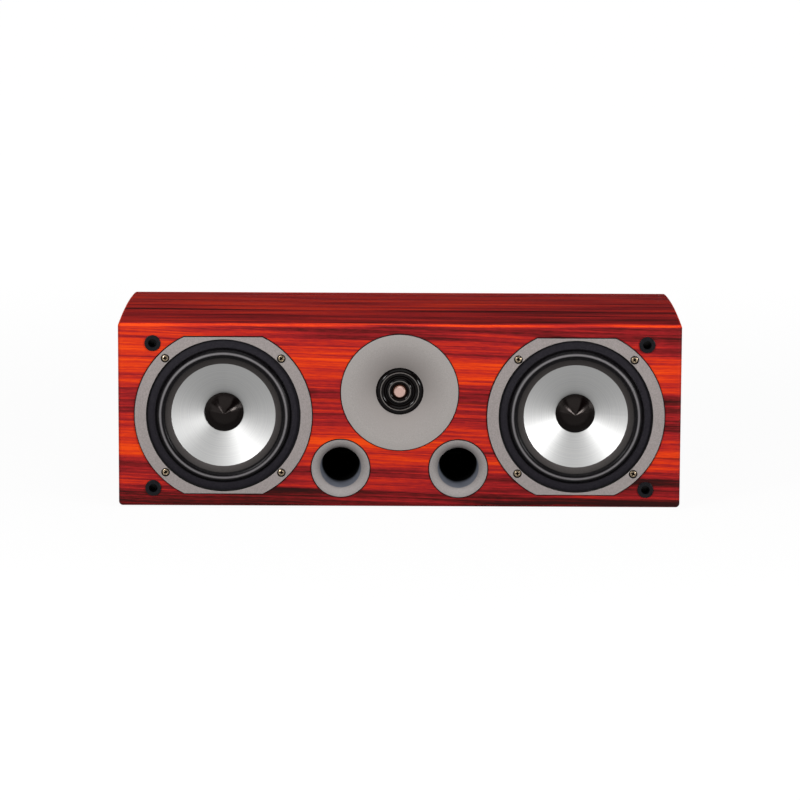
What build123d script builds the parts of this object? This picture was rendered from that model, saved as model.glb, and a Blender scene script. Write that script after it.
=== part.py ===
from build123d import *
import os
from math import radians, tan

# Center channel speaker: two woofers, a ring tweeter above two flared ports, in a veneered cabinet.
# Millimetres. X runs along the cabinet, Y from front to back, Z up. The pads stand on Z = 0.
# Places on the front are given as X and the height above the cabinet's underside.
# A depth is measured inwards from the baffle's face, so what stands proud has a negative depth.

# Cabinet
CABINET_WIDTH = 495.0
CABINET_HEIGHT = 164.0
CABINET_DEPTH = 250.0
REAR_DROP = 13.5
EDGE_RADIUS = 3.5
BAFFLE_THICKNESS = 18.0
TOP_THICKNESS = 12.0
BOTTOM_THICKNESS = 15.0
END_THICKNESS = 15.0
REAR_THICKNESS = 15.0
BRACE_X = 81.0
BRACE_THICKNESS = 9.0
BRACE_BORDER = 24.0
BRACE_WINDOW_RADIUS = 12.0
FOOT_RADIUS = 9.0
FOOT_HEIGHT = 2.0
FOOT_INSET = 30.0
FOOT_EDGE = 0.6

# Fits
SCREW_CLEARANCE = 0.25
PILOT_CLEARANCE = 0.05
SEAT_GAP = 0.45
GLUE_LINE = 0.3
COIL_GAP = 0.4

# Woofers
WOOFER_X = 155.0
WOOFER_HEIGHT = 81.6
TRIM_RADIUS = 78.4
TRIM_FLAT = 70.4
TRIM_INNER_RADIUS = 67.55
TRIM_THICKNESS = 3.0
TRIM_PROUD = 1.5
TRIM_EDGE = 0.6
FLANGE_INSET = 0.8
FLANGE_THICKNESS = 3.0
GASKET_THICKNESS = 1.0
WOOFER_SCREW_OFFSET = 51.0
SCREW_RADIUS = 2.0
SCREW_LENGTH = 16.0
SCREW_HEAD_RADIUS = 2.9
SCREW_HEAD_HEIGHT = 1.8
SCREW_SLOT_WIDTH = 0.8
SCREW_SLOT_LENGTH = 4.0
SCREW_SLOT_DEPTH = 1.0
COUNTERBORE_GAP = 0.95

BASKET_RADIUS = 61.5
BASKET_WALL = 2.2
BASKET_SKIRT = 10.5
SHELF_DEPTH = 30.0
SHELF_RADIUS = 44.0
SHELF_WIDTH = 8.0
BASKET_DEPTH = 42.0
BASKET_BASE_RADIUS = 37.0
BASKET_BASE_BORE = 21.0
BASKET_BASE_THICKNESS = 2.5
WINDOW_COUNT = 6
WINDOW_WIDTH = 34.0
WINDOW_MARGIN = 2.0

SURROUND_GAP = 0.75
SURROUND_THICKNESS = 0.8
ROLL_OUTER_RADIUS = 59.4
ROLL_INNER_RADIUS = 50.3
ROLL_HEIGHT = 3.7
SURROUND_INNER_RADIUS = 45.8

CONE_ANGLE = 26.0
CONE_EDGE_DEPTH = 2.3
CONE_RIM_RADIUS = 49.8
CONE_THICKNESS = 0.6
CONE_NECK = 4.0
CAP_RADIUS = 17.4
CAP_HEIGHT = 10.3
CAP_SHOULDER_RADIUS = 9.9
CAP_SHOULDER_RISE = 7.2
CAP_THICKNESS = 1.0
CAP_SEAT = 0.05

COIL_RADIUS = 12.9
FORMER_WALL = 0.4
FORMER_TAIL = 10.5
WINDING_THICKNESS = 0.6
WINDING_LENGTH = 13.0
SPIDER_THICKNESS = 0.6
SPIDER_WAVE = 1.4
SPIDER_WAVES = 3

TOP_PLATE_RADIUS = 40.0
TOP_PLATE_THICKNESS = 5.0
MAGNET_RADIUS = 45.0
MAGNET_BORE = 20.0
MAGNET_THICKNESS = 15.0
BACK_PLATE_RADIUS = 42.0
BACK_PLATE_THICKNESS = 6.0
POLE_VENT_RADIUS = 4.0

# Tweeter
TWEETER_HEIGHT = 102.6
PLATE_RADIUS = 52.0
PLATE_PROUD = 1.0
PLATE_RIM = 4.0
PLATE_LIP = 2.6
PLATE_EDGE = 0.6
PLATE_BODY_RADIUS = 37.0
PLATE_BODY_DEPTH = 7.0
THROAT_RADIUS = 21.0
THROAT_DEPTH = 6.4
DIAPHRAGM_RADIUS = 23.0
DIAPHRAGM_THICKNESS = 0.3
OUTER_ROLL_HEIGHT = 2.4
INNER_ROLL_HEIGHT = 2.1
ROLL_LAND = 0.4
PLUG_RADIUS = 4.8
PLUG_DEPTH = 2.5
PLUG_CHAMFER = 0.5
PLUG_FOOT_RADIUS = 5.9
PLUG_FOOT_THICKNESS = 1.0
TWEETER_COIL_RADIUS = 12.7
TWEETER_COIL_WALL = 0.5
TWEETER_COIL_LENGTH = 5.0
TWEETER_PLATE_THICKNESS = 4.0
TWEETER_MAGNET_RADIUS = 36.0
TWEETER_MAGNET_BORE = 18.0
TWEETER_MAGNET_THICKNESS = 8.0
TWEETER_YOKE_THICKNESS = 5.0
CHAMBER_RADIUS = 24.0
CHAMBER_WALL = 2.0
CHAMBER_LENGTH = 16.0
TWEETER_SCREW_SPAN = 76.0
TWEETER_SCREW_RISE = 44.0
TWEETER_SCREW_RADIUS = 1.65
TWEETER_SCREW_BITE = 6.0
TWEETER_SCREW_HEAD_RADIUS = 3.3
TWEETER_SCREW_HEAD_HEIGHT = 2.2
BOSS_RADIUS = 4.0
BOSS_LENGTH = 8.0

# Ports
PORT_X = 51.85
PORT_HEIGHT = 34.5
PORT_RIM_RADIUS = 26.2
PORT_RIM_THICKNESS = 3.0
PORT_PROUD = 0.8
PORT_NECK_RADIUS = 21.5
PORT_NECK_LENGTH = 5.6
PORT_FLARE_DEPTH = 5.0
PORT_THROAT_RADIUS = 18.2
PORT_TAPER = 20.0
PORT_BORE_RADIUS = 16.8
PORT_WALL = 1.7
PORT_LENGTH = 120.0
PORT_EDGE = 0.8

# Grille sockets
SOCKET_X = 217.0
SOCKET_HEIGHT_LOW = 16.3
SOCKET_HEIGHT_HIGH = 145.9
SOCKET_FLANGE_RADIUS = 7.1
SOCKET_PROUD = 1.3
SOCKET_EDGE = 0.6
SOCKET_RADIUS = 5.2
SOCKET_BORE_RADIUS = 3.8
SOCKET_DEPTH = 13.5
SOCKET_BORE_DEPTH = 12.0

# Terminal cup and binding posts
CUP_HEIGHT = 75.0
CUP_RECESS_WIDTH = 72.0
CUP_RECESS_HEIGHT = 52.0
CUP_RECESS_DEPTH = 26.0
CUP_WALL = 2.5
CUP_FLANGE_MARGIN = 12.0
CUP_FLANGE_THICKNESS = 3.0
CUP_EDGE = 1.0
CUP_CORNER = 8.0
CUP_SCREW_INSET = 6.0
CUP_SCREW_RADIUS = 1.75
CUP_SCREW_LENGTH = 12.0
CUP_SCREW_HEAD_RADIUS = 3.2
CUP_SCREW_HEAD_HEIGHT = 1.6
POST_SPACING = 19.0
POST_RADIUS = 3.2
POST_BORE_RADIUS = 2.0
POST_BORE_DEPTH = 13.0
POST_COLLAR_RADIUS = 6.5
POST_COLLAR_THICKNESS = 4.0
POST_TAIL = 9.0
KNOB_RADIUS = 7.5
KNOB_LENGTH = 17.0
KNOB_CLEARANCE = 0.05
KNOB_RUN = 0.4
KNOB_FLUTES = 12
KNOB_FLUTE_RADIUS = 1.1
KNOB_FLUTE_LENGTH = 14.0
KNOB_CHAMFER = 0.8
NUT_ACROSS_FLATS = 9.0
NUT_THICKNESS = 4.0

# Crossover and damping
BOARD_LENGTH = 112.0
BOARD_WIDTH = 64.0
BOARD_THICKNESS = 1.6
BOARD_DEPTH = 172.0
SPACER_RADIUS = 3.0
SPACER_HEIGHT = 5.0
SPACER_INSET = 6.0
INDUCTOR_RADIUS = 17.0
INDUCTOR_BORE = 8.0
INDUCTOR_HEIGHT = 15.0
INDUCTOR_X = 30.0
INDUCTOR_Y = 11.0
CAPACITOR_RADIUS = 7.0
CAPACITOR_LENGTH = 30.0
CAPACITOR_COUNT = 3
CAPACITOR_PITCH = 34.0
CAPACITOR_Y = -18.0
RESISTOR_LENGTH = 20.0
RESISTOR_WIDTH = 8.0
RESISTOR_HEIGHT = 9.0
RESISTOR_PITCH = 14.0
PAD_BRACE_GAP = 19.5
PAD_END_GAP = 17.5
PAD_HEIGHT = 96.0
PAD_THICKNESS = 24.0
PAD_EDGE = 6.0
PAD_CENTRE = 77.0

# Layers of a woofer, as depths behind the baffle's face
FLANGE_DEPTH = TRIM_THICKNESS - TRIM_PROUD
GASKET_DEPTH = FLANGE_DEPTH + FLANGE_THICKNESS
REBATE_DEPTH = GASKET_DEPTH + GASKET_THICKNESS
SHELF_FRONT = FLANGE_DEPTH + SHELF_DEPTH
MOTOR_DEPTH = FLANGE_DEPTH + BASKET_DEPTH
MAGNET_DEPTH = MOTOR_DEPTH + TOP_PLATE_THICKNESS
BACK_PLATE_DEPTH = MAGNET_DEPTH + MAGNET_THICKNESS
MOTOR_END = BACK_PLATE_DEPTH + BACK_PLATE_THICKNESS
SURROUND_DEPTH = FLANGE_DEPTH - SURROUND_THICKNESS
SURROUND_OUTER_RADIUS = TRIM_INNER_RADIUS - SURROUND_GAP
ROLL_CREST = SURROUND_DEPTH - ROLL_HEIGHT
SCREW_SEAT = SCREW_HEAD_HEIGHT - TRIM_PROUD

# Layers of the tweeter
PLATE_SEAT = PLATE_RIM - PLATE_PROUD
COIL_FRONT = PLATE_BODY_DEPTH + DIAPHRAGM_THICKNESS
TWEETER_MAGNET_DEPTH = COIL_FRONT + TWEETER_PLATE_THICKNESS
TWEETER_YOKE_DEPTH = TWEETER_MAGNET_DEPTH + TWEETER_MAGNET_THICKNESS
CHAMBER_DEPTH = TWEETER_YOKE_DEPTH + TWEETER_YOKE_THICKNESS
BOSS_END = PLATE_SEAT + BOSS_LENGTH

# Layers of the terminal cup, as depths inside the cabinet's back
CUP_WIDTH = CUP_RECESS_WIDTH + 2 * CUP_WALL
CUP_BODY_HEIGHT = CUP_RECESS_HEIGHT + 2 * CUP_WALL
CUP_SCREW_X = CUP_WIDTH + 2 * CUP_FLANGE_MARGIN - 2 * CUP_SCREW_INSET
CUP_SCREW_Z = CUP_BODY_HEIGHT + 2 * CUP_FLANGE_MARGIN - 2 * CUP_SCREW_INSET
CUP_INSIDE = CUP_RECESS_DEPTH + CUP_WALL
KNOB_BASE = CUP_RECESS_DEPTH - POST_COLLAR_THICKNESS - KNOB_RUN
KNOB_END = KNOB_BASE - KNOB_LENGTH

# The whole object is centred over the origin, from the surround's crest to the cup's flange.
FRONT_REACH = max(-ROLL_CREST, TRIM_PROUD, PLATE_PROUD, PORT_PROUD, SOCKET_PROUD)
REAR_REACH = CUP_FLANGE_THICKNESS
FRONT_Y = (FRONT_REACH - REAR_REACH - CABINET_DEPTH) / 2
REAR_Y = FRONT_Y + CABINET_DEPTH
BASE_Z = FOOT_HEIGHT
TOP_Z = BASE_Z + CABINET_HEIGHT
INNER_X = CABINET_WIDTH / 2 - END_THICKNESS
INNER_FRONT_Y = FRONT_Y + BAFFLE_THICKNESS
INNER_REAR_Y = REAR_Y - REAR_THICKNESS
FLOOR_Z = BASE_Z + BOTTOM_THICKNESS

# The top is an arc that is level at the baffle and has fallen by REAR_DROP at the back.
TOP_ARC_RADIUS = (CABINET_DEPTH**2 + REAR_DROP**2) / (2 * REAR_DROP)
CEILING_RADIUS = TOP_ARC_RADIUS - TOP_THICKNESS
TOP_ARC_CENTRE = (FRONT_Y, TOP_Z - TOP_ARC_RADIUS)


def on_front(x, height, depth=0.0):
    """A plane parallel to the baffle, facing the listener, at a depth behind the baffle's face."""
    return Plane((x, FRONT_Y + depth, BASE_Z + height), x_dir=(1, 0, 0), z_dir=(0, -1, 0))


def on_rear(x, height, depth=0.0):
    """A plane parallel to the rear panel, facing backwards, at a depth inside the cabinet's back."""
    return Plane((x, REAR_Y - depth, BASE_Z + height), x_dir=(-1, 0, 0), z_dir=(0, 1, 0))


def section(x, height):
    """A plane through a front-to-back axis: its X is the radius and its Y the depth."""
    return Plane((x, FRONT_Y, BASE_Z + height))


def spin(x, height):
    """The front-to-back axis of a turned piece."""
    return Axis((x, FRONT_Y, BASE_Z + height), (0, 1, 0))


def ring(inner, outer, front, back):
    """Profile of a plain ring, for a sketch on a section plane."""
    with Locations(((inner + outer) / 2, (front + back) / 2)):
        Rectangle(outer - inner, back - front)


def truncated_circle(radius, half_height):
    """A circle with its top and bottom cut flat."""
    Circle(radius)
    Rectangle(2 * radius, 2 * half_height, mode=Mode.INTERSECT)


def keep_between(low, high):
    """Keep what lies in the box between two corners."""
    size = [b - a for a, b in zip(low, high)]
    with Locations(tuple((a + b) / 2 for a, b in zip(low, high))):
        Box(*size, mode=Mode.INTERSECT)


def under_ceiling():
    """Side view of the space behind the baffle and under the curved top, for a sketch on Plane.YZ."""
    middle = ((INNER_FRONT_Y + INNER_REAR_Y) / 2, (FLOOR_Z + TOP_Z) / 2)
    with Locations(middle):
        Rectangle(INNER_REAR_Y - INNER_FRONT_Y, TOP_Z - FLOOR_Z)
    with Locations(TOP_ARC_CENTRE):
        Circle(CEILING_RADIUS, mode=Mode.INTERSECT)


def save(builder, name):
    """Label a finished piece and write it."""
    builder.part.label = name
    export_step(builder.part, f"parts/{name}.step")


os.makedirs("parts", exist_ok=True)

woofer_screw_grid = GridLocations(2 * WOOFER_SCREW_OFFSET, 2 * WOOFER_SCREW_OFFSET, 2, 2)
tweeter_screw_grid = GridLocations(TWEETER_SCREW_SPAN, TWEETER_SCREW_RISE, 2, 2)
cup_screw_grid = GridLocations(CUP_SCREW_X, CUP_SCREW_Z, 2, 2)

# The closed outside of the cabinet, which every panel is cut from, so their rounded edges meet.
with BuildPart() as envelope:
    with BuildSketch(Plane.YZ):
        with BuildLine():
            Polyline(
                (FRONT_Y, TOP_Z),
                (FRONT_Y, BASE_Z),
                (REAR_Y, BASE_Z),
                (REAR_Y, TOP_Z - REAR_DROP),
            )
            TangentArc((FRONT_Y, TOP_Z), (REAR_Y, TOP_Z - REAR_DROP), tangent=(1, 0))
        make_face()
    extrude(amount=CABINET_WIDTH / 2, both=True)
    fillet(envelope.edges(), radius=EDGE_RADIUS)

FAR = CABINET_WIDTH + CABINET_DEPTH + CABINET_HEIGHT

with BuildPart() as front_baffle:
    add(envelope.part)
    keep_between((-FAR, FRONT_Y, 0), (FAR, INNER_FRONT_Y, FAR))
    for x in (-WOOFER_X, WOOFER_X):
        with BuildSketch(on_front(x, WOOFER_HEIGHT)):
            truncated_circle(TRIM_RADIUS + SEAT_GAP, TRIM_FLAT + SEAT_GAP)
        extrude(amount=-REBATE_DEPTH, mode=Mode.SUBTRACT)
        with BuildSketch(on_front(x, WOOFER_HEIGHT)):
            Circle(BASKET_RADIUS + SEAT_GAP)
        extrude(amount=-BAFFLE_THICKNESS, mode=Mode.SUBTRACT)
        with BuildSketch(on_front(x, WOOFER_HEIGHT)):
            with woofer_screw_grid:
                Circle(SCREW_RADIUS + PILOT_CLEARANCE)
        extrude(amount=-SCREW_SEAT - SCREW_LENGTH - GLUE_LINE, mode=Mode.SUBTRACT)
    with BuildSketch(on_front(0, TWEETER_HEIGHT)):
        Circle(PLATE_RADIUS + SEAT_GAP)
    extrude(amount=-PLATE_SEAT, mode=Mode.SUBTRACT)
    with BuildSketch(on_front(0, TWEETER_HEIGHT)):
        Circle(PLATE_BODY_RADIUS + SEAT_GAP)
    extrude(amount=-BAFFLE_THICKNESS, mode=Mode.SUBTRACT)
    with BuildSketch(on_front(0, TWEETER_HEIGHT)):
        with tweeter_screw_grid:
            Circle(BOSS_RADIUS + SCREW_CLEARANCE)
    extrude(amount=-BOSS_END - GLUE_LINE, mode=Mode.SUBTRACT)
    with BuildSketch(on_front(0, TWEETER_HEIGHT)):
        with tweeter_screw_grid:
            Circle(TWEETER_SCREW_RADIUS + SCREW_CLEARANCE)
    extrude(amount=-BAFFLE_THICKNESS, mode=Mode.SUBTRACT)
    for x in (-PORT_X, PORT_X):
        with BuildSketch(on_front(x, PORT_HEIGHT)):
            Circle(PORT_RIM_RADIUS + SEAT_GAP)
        extrude(amount=-(PORT_RIM_THICKNESS - PORT_PROUD), mode=Mode.SUBTRACT)
        with BuildSketch(on_front(x, PORT_HEIGHT)):
            Circle(PORT_NECK_RADIUS + SEAT_GAP)
        extrude(amount=-BAFFLE_THICKNESS, mode=Mode.SUBTRACT)
    for height in (SOCKET_HEIGHT_LOW, SOCKET_HEIGHT_HIGH):
        with BuildSketch(on_front(0, height)):
            with Locations((-SOCKET_X, 0), (SOCKET_X, 0)):
                Circle(SOCKET_RADIUS + PILOT_CLEARANCE)
        extrude(amount=-SOCKET_DEPTH - GLUE_LINE, mode=Mode.SUBTRACT)
save(front_baffle, "front_baffle")

with BuildPart() as top_panel:
    add(envelope.part)
    keep_between((-INNER_X, INNER_FRONT_Y, 0), (INNER_X, REAR_Y, FAR))
    with BuildSketch(Plane.YZ):
        with Locations(TOP_ARC_CENTRE):
            Circle(CEILING_RADIUS)
    extrude(amount=FAR, both=True, mode=Mode.SUBTRACT)
save(top_panel, "top_panel")

with BuildPart() as bottom_panel:
    add(envelope.part)
    keep_between((-INNER_X, INNER_FRONT_Y, 0), (INNER_X, REAR_Y, FLOOR_Z))
save(bottom_panel, "bottom_panel")

for name, low, high in (("left_end_panel", -FAR, -INNER_X), ("right_end_panel", INNER_X, FAR)):
    with BuildPart() as end_panel:
        add(envelope.part)
        keep_between((low, INNER_FRONT_Y, 0), (high, REAR_Y, FAR))
    save(end_panel, name)

with BuildPart() as rear_panel:
    with BuildSketch(Plane.YZ):
        with Locations(((INNER_REAR_Y + REAR_Y) / 2, (FLOOR_Z + TOP_Z) / 2)):
            Rectangle(REAR_THICKNESS, TOP_Z - FLOOR_Z)
        with Locations(TOP_ARC_CENTRE):
            Circle(CEILING_RADIUS, mode=Mode.INTERSECT)
    extrude(amount=INNER_X, both=True)
    with BuildSketch(on_rear(0, CUP_HEIGHT)):
        RectangleRounded(CUP_WIDTH + 2 * SEAT_GAP, CUP_BODY_HEIGHT + 2 * SEAT_GAP, CUP_CORNER)
    extrude(amount=-REAR_THICKNESS, mode=Mode.SUBTRACT)
    with BuildSketch(on_rear(0, CUP_HEIGHT)):
        with cup_screw_grid:
            Circle(CUP_SCREW_RADIUS + PILOT_CLEARANCE)
    extrude(amount=-CUP_SCREW_LENGTH, mode=Mode.SUBTRACT)
save(rear_panel, "rear_panel")

for name, x in (("left_brace", -BRACE_X), ("right_brace", BRACE_X)):
    with BuildPart() as brace:
        with BuildSketch(Plane.YZ.offset(x)):
            under_ceiling()
            offset(amount=-BRACE_BORDER, mode=Mode.SUBTRACT)
        extrude(amount=BRACE_THICKNESS / 2, both=True)
        window_corners = brace.edges().filter_by(Axis.X).sort_by(SortBy.DISTANCE)[:4]
        fillet(window_corners, radius=BRACE_WINDOW_RADIUS)
    save(brace, name)

with BuildPart() as rubber_feet:
    with BuildSketch():
        with Locations((0, (FRONT_Y + REAR_Y) / 2)):
            with GridLocations(CABINET_WIDTH - 2 * FOOT_INSET, CABINET_DEPTH - 2 * FOOT_INSET, 2, 2):
                Circle(FOOT_RADIUS)
    extrude(amount=FOOT_HEIGHT)
    chamfer(rubber_feet.faces().group_by(Axis.Z)[0].edges(), length=FOOT_EDGE)
save(rubber_feet, "rubber_feet")

with BuildPart() as grille_sockets:
    for height in (SOCKET_HEIGHT_LOW, SOCKET_HEIGHT_HIGH):
        for x in (-SOCKET_X, SOCKET_X):
            with BuildSketch(section(x, height)):
                with BuildLine():
                    Polyline(
                        (0, SOCKET_DEPTH),
                        (SOCKET_RADIUS, SOCKET_DEPTH),
                        (SOCKET_RADIUS, 0),
                        (SOCKET_FLANGE_RADIUS, 0),
                        (SOCKET_FLANGE_RADIUS, SOCKET_EDGE - SOCKET_PROUD),
                    )
                    TangentArc(
                        (SOCKET_FLANGE_RADIUS, SOCKET_EDGE - SOCKET_PROUD),
                        (SOCKET_FLANGE_RADIUS - SOCKET_EDGE, -SOCKET_PROUD),
                        tangent=(0, -1),
                    )
                    Polyline(
                        (SOCKET_FLANGE_RADIUS - SOCKET_EDGE, -SOCKET_PROUD),
                        (SOCKET_BORE_RADIUS, -SOCKET_PROUD),
                        (SOCKET_BORE_RADIUS, SOCKET_BORE_DEPTH - SOCKET_PROUD),
                        (0, SOCKET_BORE_DEPTH - SOCKET_PROUD),
                        (0, SOCKET_DEPTH),
                    )
                make_face()
            revolve(axis=spin(x, height))
save(grille_sockets, "grille_sockets")


def cone_front(radius):
    """Depth of the woofer cone's front face at a radius."""
    return CONE_EDGE_DEPTH + (SURROUND_INNER_RADIUS - radius) * tan(radians(CONE_ANGLE))


def make_woofer(side, x):
    """All the pieces of one woofer, in the order in which they stack up."""
    front = on_front(x, WOOFER_HEIGHT)
    cut = section(x, WOOFER_HEIGHT)
    axis = spin(x, WOOFER_HEIGHT)
    prefix = f"woofer_{side}_"

    with BuildPart() as trim_ring:
        with BuildSketch(on_front(x, WOOFER_HEIGHT, FLANGE_DEPTH)):
            truncated_circle(TRIM_RADIUS, TRIM_FLAT)
            Circle(TRIM_INNER_RADIUS, mode=Mode.SUBTRACT)
        extrude(amount=TRIM_THICKNESS)
        chamfer(trim_ring.faces().sort_by(Axis.Y)[0].edges(), length=TRIM_EDGE)
        with BuildSketch(on_front(x, WOOFER_HEIGHT, -TRIM_PROUD)):
            with woofer_screw_grid:
                Circle(SCREW_HEAD_RADIUS + COUNTERBORE_GAP)
        extrude(amount=-SCREW_HEAD_HEIGHT, mode=Mode.SUBTRACT)
        with BuildSketch(on_front(x, WOOFER_HEIGHT, -TRIM_PROUD)):
            with woofer_screw_grid:
                Circle(SCREW_RADIUS + SCREW_CLEARANCE)
        extrude(amount=-TRIM_THICKNESS, mode=Mode.SUBTRACT)
    save(trim_ring, prefix + "trim_ring")

    # A turned section from the flange, down the cone-shaped wall and round the spider's shelf, to the base.
    with BuildPart() as basket:
        with BuildSketch(cut):
            with BuildLine():
                Polyline(
                    (BASKET_RADIUS - BASKET_WALL, FLANGE_DEPTH),
                    (TRIM_RADIUS - FLANGE_INSET, FLANGE_DEPTH),
                    (TRIM_RADIUS - FLANGE_INSET, GASKET_DEPTH),
                    (BASKET_RADIUS, GASKET_DEPTH),
                    (BASKET_RADIUS, FLANGE_DEPTH + BASKET_SKIRT),
                    (SHELF_RADIUS, SHELF_FRONT),
                    (SHELF_RADIUS, SHELF_FRONT + BASKET_WALL),
                    (BASKET_BASE_RADIUS, MOTOR_DEPTH - BASKET_BASE_THICKNESS),
                    (BASKET_BASE_RADIUS, MOTOR_DEPTH),
                    (BASKET_BASE_BORE, MOTOR_DEPTH),
                    (BASKET_BASE_BORE, MOTOR_DEPTH - BASKET_BASE_THICKNESS),
                    (BASKET_BASE_RADIUS - BASKET_WALL, MOTOR_DEPTH - BASKET_BASE_THICKNESS),
                    (SHELF_RADIUS - SHELF_WIDTH, SHELF_FRONT),
                    (SHELF_RADIUS - BASKET_WALL, SHELF_FRONT),
                    (BASKET_RADIUS - BASKET_WALL, FLANGE_DEPTH + BASKET_SKIRT),
                    close=True,
                )
            make_face()
        revolve(axis=axis)
        with BuildSketch(front):
            Rectangle(2 * TRIM_RADIUS, 2 * (TRIM_FLAT - FLANGE_INSET))
        extrude(amount=-MOTOR_DEPTH, mode=Mode.INTERSECT)
        with BuildSketch(front):
            with woofer_screw_grid:
                Circle(SCREW_RADIUS + SCREW_CLEARANCE)
        extrude(amount=-REBATE_DEPTH, mode=Mode.SUBTRACT)
        with BuildSketch(on_front(x, WOOFER_HEIGHT, FLANGE_DEPTH + BASKET_SKIRT + WINDOW_MARGIN)):
            with PolarLocations((SHELF_RADIUS + BASKET_RADIUS) / 2, WINDOW_COUNT):
                Rectangle(BASKET_RADIUS - SHELF_RADIUS, WINDOW_WIDTH)
        extrude(amount=-(SHELF_DEPTH - BASKET_SKIRT - 2 * WINDOW_MARGIN), mode=Mode.SUBTRACT)
    save(basket, prefix + "basket")

    with BuildPart() as gasket:
        with BuildSketch(on_front(x, WOOFER_HEIGHT, REBATE_DEPTH)):
            truncated_circle(TRIM_RADIUS - FLANGE_INSET, TRIM_FLAT - FLANGE_INSET)
            Circle(BASKET_RADIUS + SEAT_GAP, mode=Mode.SUBTRACT)
            with woofer_screw_grid:
                Circle(SCREW_RADIUS + SCREW_CLEARANCE, mode=Mode.SUBTRACT)
        extrude(amount=GASKET_THICKNESS)
    save(gasket, prefix + "gasket")

    # Flat outer flange on the basket, a half roll, and a sloped inner flange that lies along the cone.
    roll_middle = (ROLL_OUTER_RADIUS + ROLL_INNER_RADIUS) / 2
    slope = SURROUND_THICKNESS + GLUE_LINE
    with BuildPart() as surround:
        with BuildSketch(cut):
            with BuildLine():
                Line((SURROUND_OUTER_RADIUS, SURROUND_DEPTH), (ROLL_OUTER_RADIUS, SURROUND_DEPTH))
                ThreePointArc(
                    (ROLL_OUTER_RADIUS, SURROUND_DEPTH),
                    (roll_middle, ROLL_CREST),
                    (ROLL_INNER_RADIUS, cone_front(ROLL_INNER_RADIUS) - slope),
                )
                Polyline(
                    (ROLL_INNER_RADIUS, cone_front(ROLL_INNER_RADIUS) - slope),
                    (SURROUND_INNER_RADIUS, cone_front(SURROUND_INNER_RADIUS) - slope),
                    (SURROUND_INNER_RADIUS, cone_front(SURROUND_INNER_RADIUS) - GLUE_LINE),
                    (ROLL_INNER_RADIUS, cone_front(ROLL_INNER_RADIUS) - GLUE_LINE),
                )
                ThreePointArc(
                    (ROLL_INNER_RADIUS, cone_front(ROLL_INNER_RADIUS) - GLUE_LINE),
                    (roll_middle, ROLL_CREST + SURROUND_THICKNESS),
                    (ROLL_OUTER_RADIUS - SURROUND_THICKNESS, FLANGE_DEPTH),
                )
                Polyline(
                    (ROLL_OUTER_RADIUS - SURROUND_THICKNESS, FLANGE_DEPTH),
                    (SURROUND_OUTER_RADIUS, FLANGE_DEPTH),
                    (SURROUND_OUTER_RADIUS, SURROUND_DEPTH),
                )
            make_face()
        revolve(axis=axis)
    save(surround, prefix + "surround")

    neck_depth = cone_front(COIL_RADIUS)
    with BuildPart() as cone:
        with BuildSketch(cut):
            with BuildLine():
                Polyline(
                    (CONE_RIM_RADIUS, cone_front(CONE_RIM_RADIUS)),
                    (COIL_RADIUS, neck_depth),
                    (COIL_RADIUS, neck_depth + CONE_NECK),
                    (COIL_RADIUS + CONE_THICKNESS, neck_depth + CONE_NECK),
                    (COIL_RADIUS + CONE_THICKNESS, neck_depth + CONE_THICKNESS),
                    (CONE_RIM_RADIUS, cone_front(CONE_RIM_RADIUS) + CONE_THICKNESS),
                    close=True,
                )
            make_face()
        revolve(axis=axis)
    save(cone, prefix + "cone")

    cap_base = cone_front(CAP_RADIUS) - CAP_SEAT
    cap_apex = cap_base - CAP_HEIGHT
    with BuildPart() as dust_cap:
        with BuildSketch(cut):
            with BuildLine():
                Bezier(
                    (CAP_RADIUS, cap_base),
                    (CAP_SHOULDER_RADIUS, cap_base - CAP_SHOULDER_RISE),
                    (0, cap_apex),
                )
                Line((0, cap_apex), (0, cap_apex + CAP_THICKNESS))
                Bezier(
                    (0, cap_apex + CAP_THICKNESS),
                    (CAP_SHOULDER_RADIUS, cap_base - CAP_SHOULDER_RISE + CAP_THICKNESS),
                    (CAP_RADIUS - CAP_THICKNESS, cap_base),
                )
                Line((CAP_RADIUS - CAP_THICKNESS, cap_base), (CAP_RADIUS, cap_base))
            make_face()
        revolve(axis=axis)
    save(dust_cap, prefix + "dust_cap")

    gap_middle = MOTOR_DEPTH + TOP_PLATE_THICKNESS / 2
    with BuildPart() as voice_coil:
        with BuildSketch(cut):
            ring(COIL_RADIUS - FORMER_WALL, COIL_RADIUS, neck_depth, MOTOR_DEPTH + FORMER_TAIL)
            ring(
                COIL_RADIUS - FORMER_WALL,
                COIL_RADIUS + WINDING_THICKNESS,
                gap_middle - WINDING_LENGTH / 2,
                gap_middle + WINDING_LENGTH / 2,
            )
        revolve(axis=axis)
    save(voice_coil, prefix + "voice_coil")

    # The spider is a pleated disc: a flat rim on the shelf, then zigzag pleats in to the coil former.
    spider_outer = SHELF_RADIUS - BASKET_WALL - GLUE_LINE
    spider_inner = COIL_RADIUS + GLUE_LINE
    pleats_outer = SHELF_RADIUS - SHELF_WIDTH
    pitch = (pleats_outer - spider_inner) / (2 * SPIDER_WAVES + 1)
    front_face = SHELF_FRONT - SPIDER_THICKNESS
    pleats = [
        (pleats_outer - pitch * (n + 0.5), front_face + SPIDER_WAVE * (-1) ** (n + 1))
        for n in range(2 * SPIDER_WAVES + 1)
    ]
    outline = [(spider_outer, front_face), (pleats_outer, front_face), *pleats, (spider_inner, front_face)]
    underside = [(r, d + SPIDER_THICKNESS) for r, d in reversed(outline)]
    with BuildPart() as spider:
        with BuildSketch(cut):
            with BuildLine():
                Polyline(*outline, *underside, close=True)
            make_face()
        revolve(axis=axis)
    save(spider, prefix + "spider")

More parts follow.
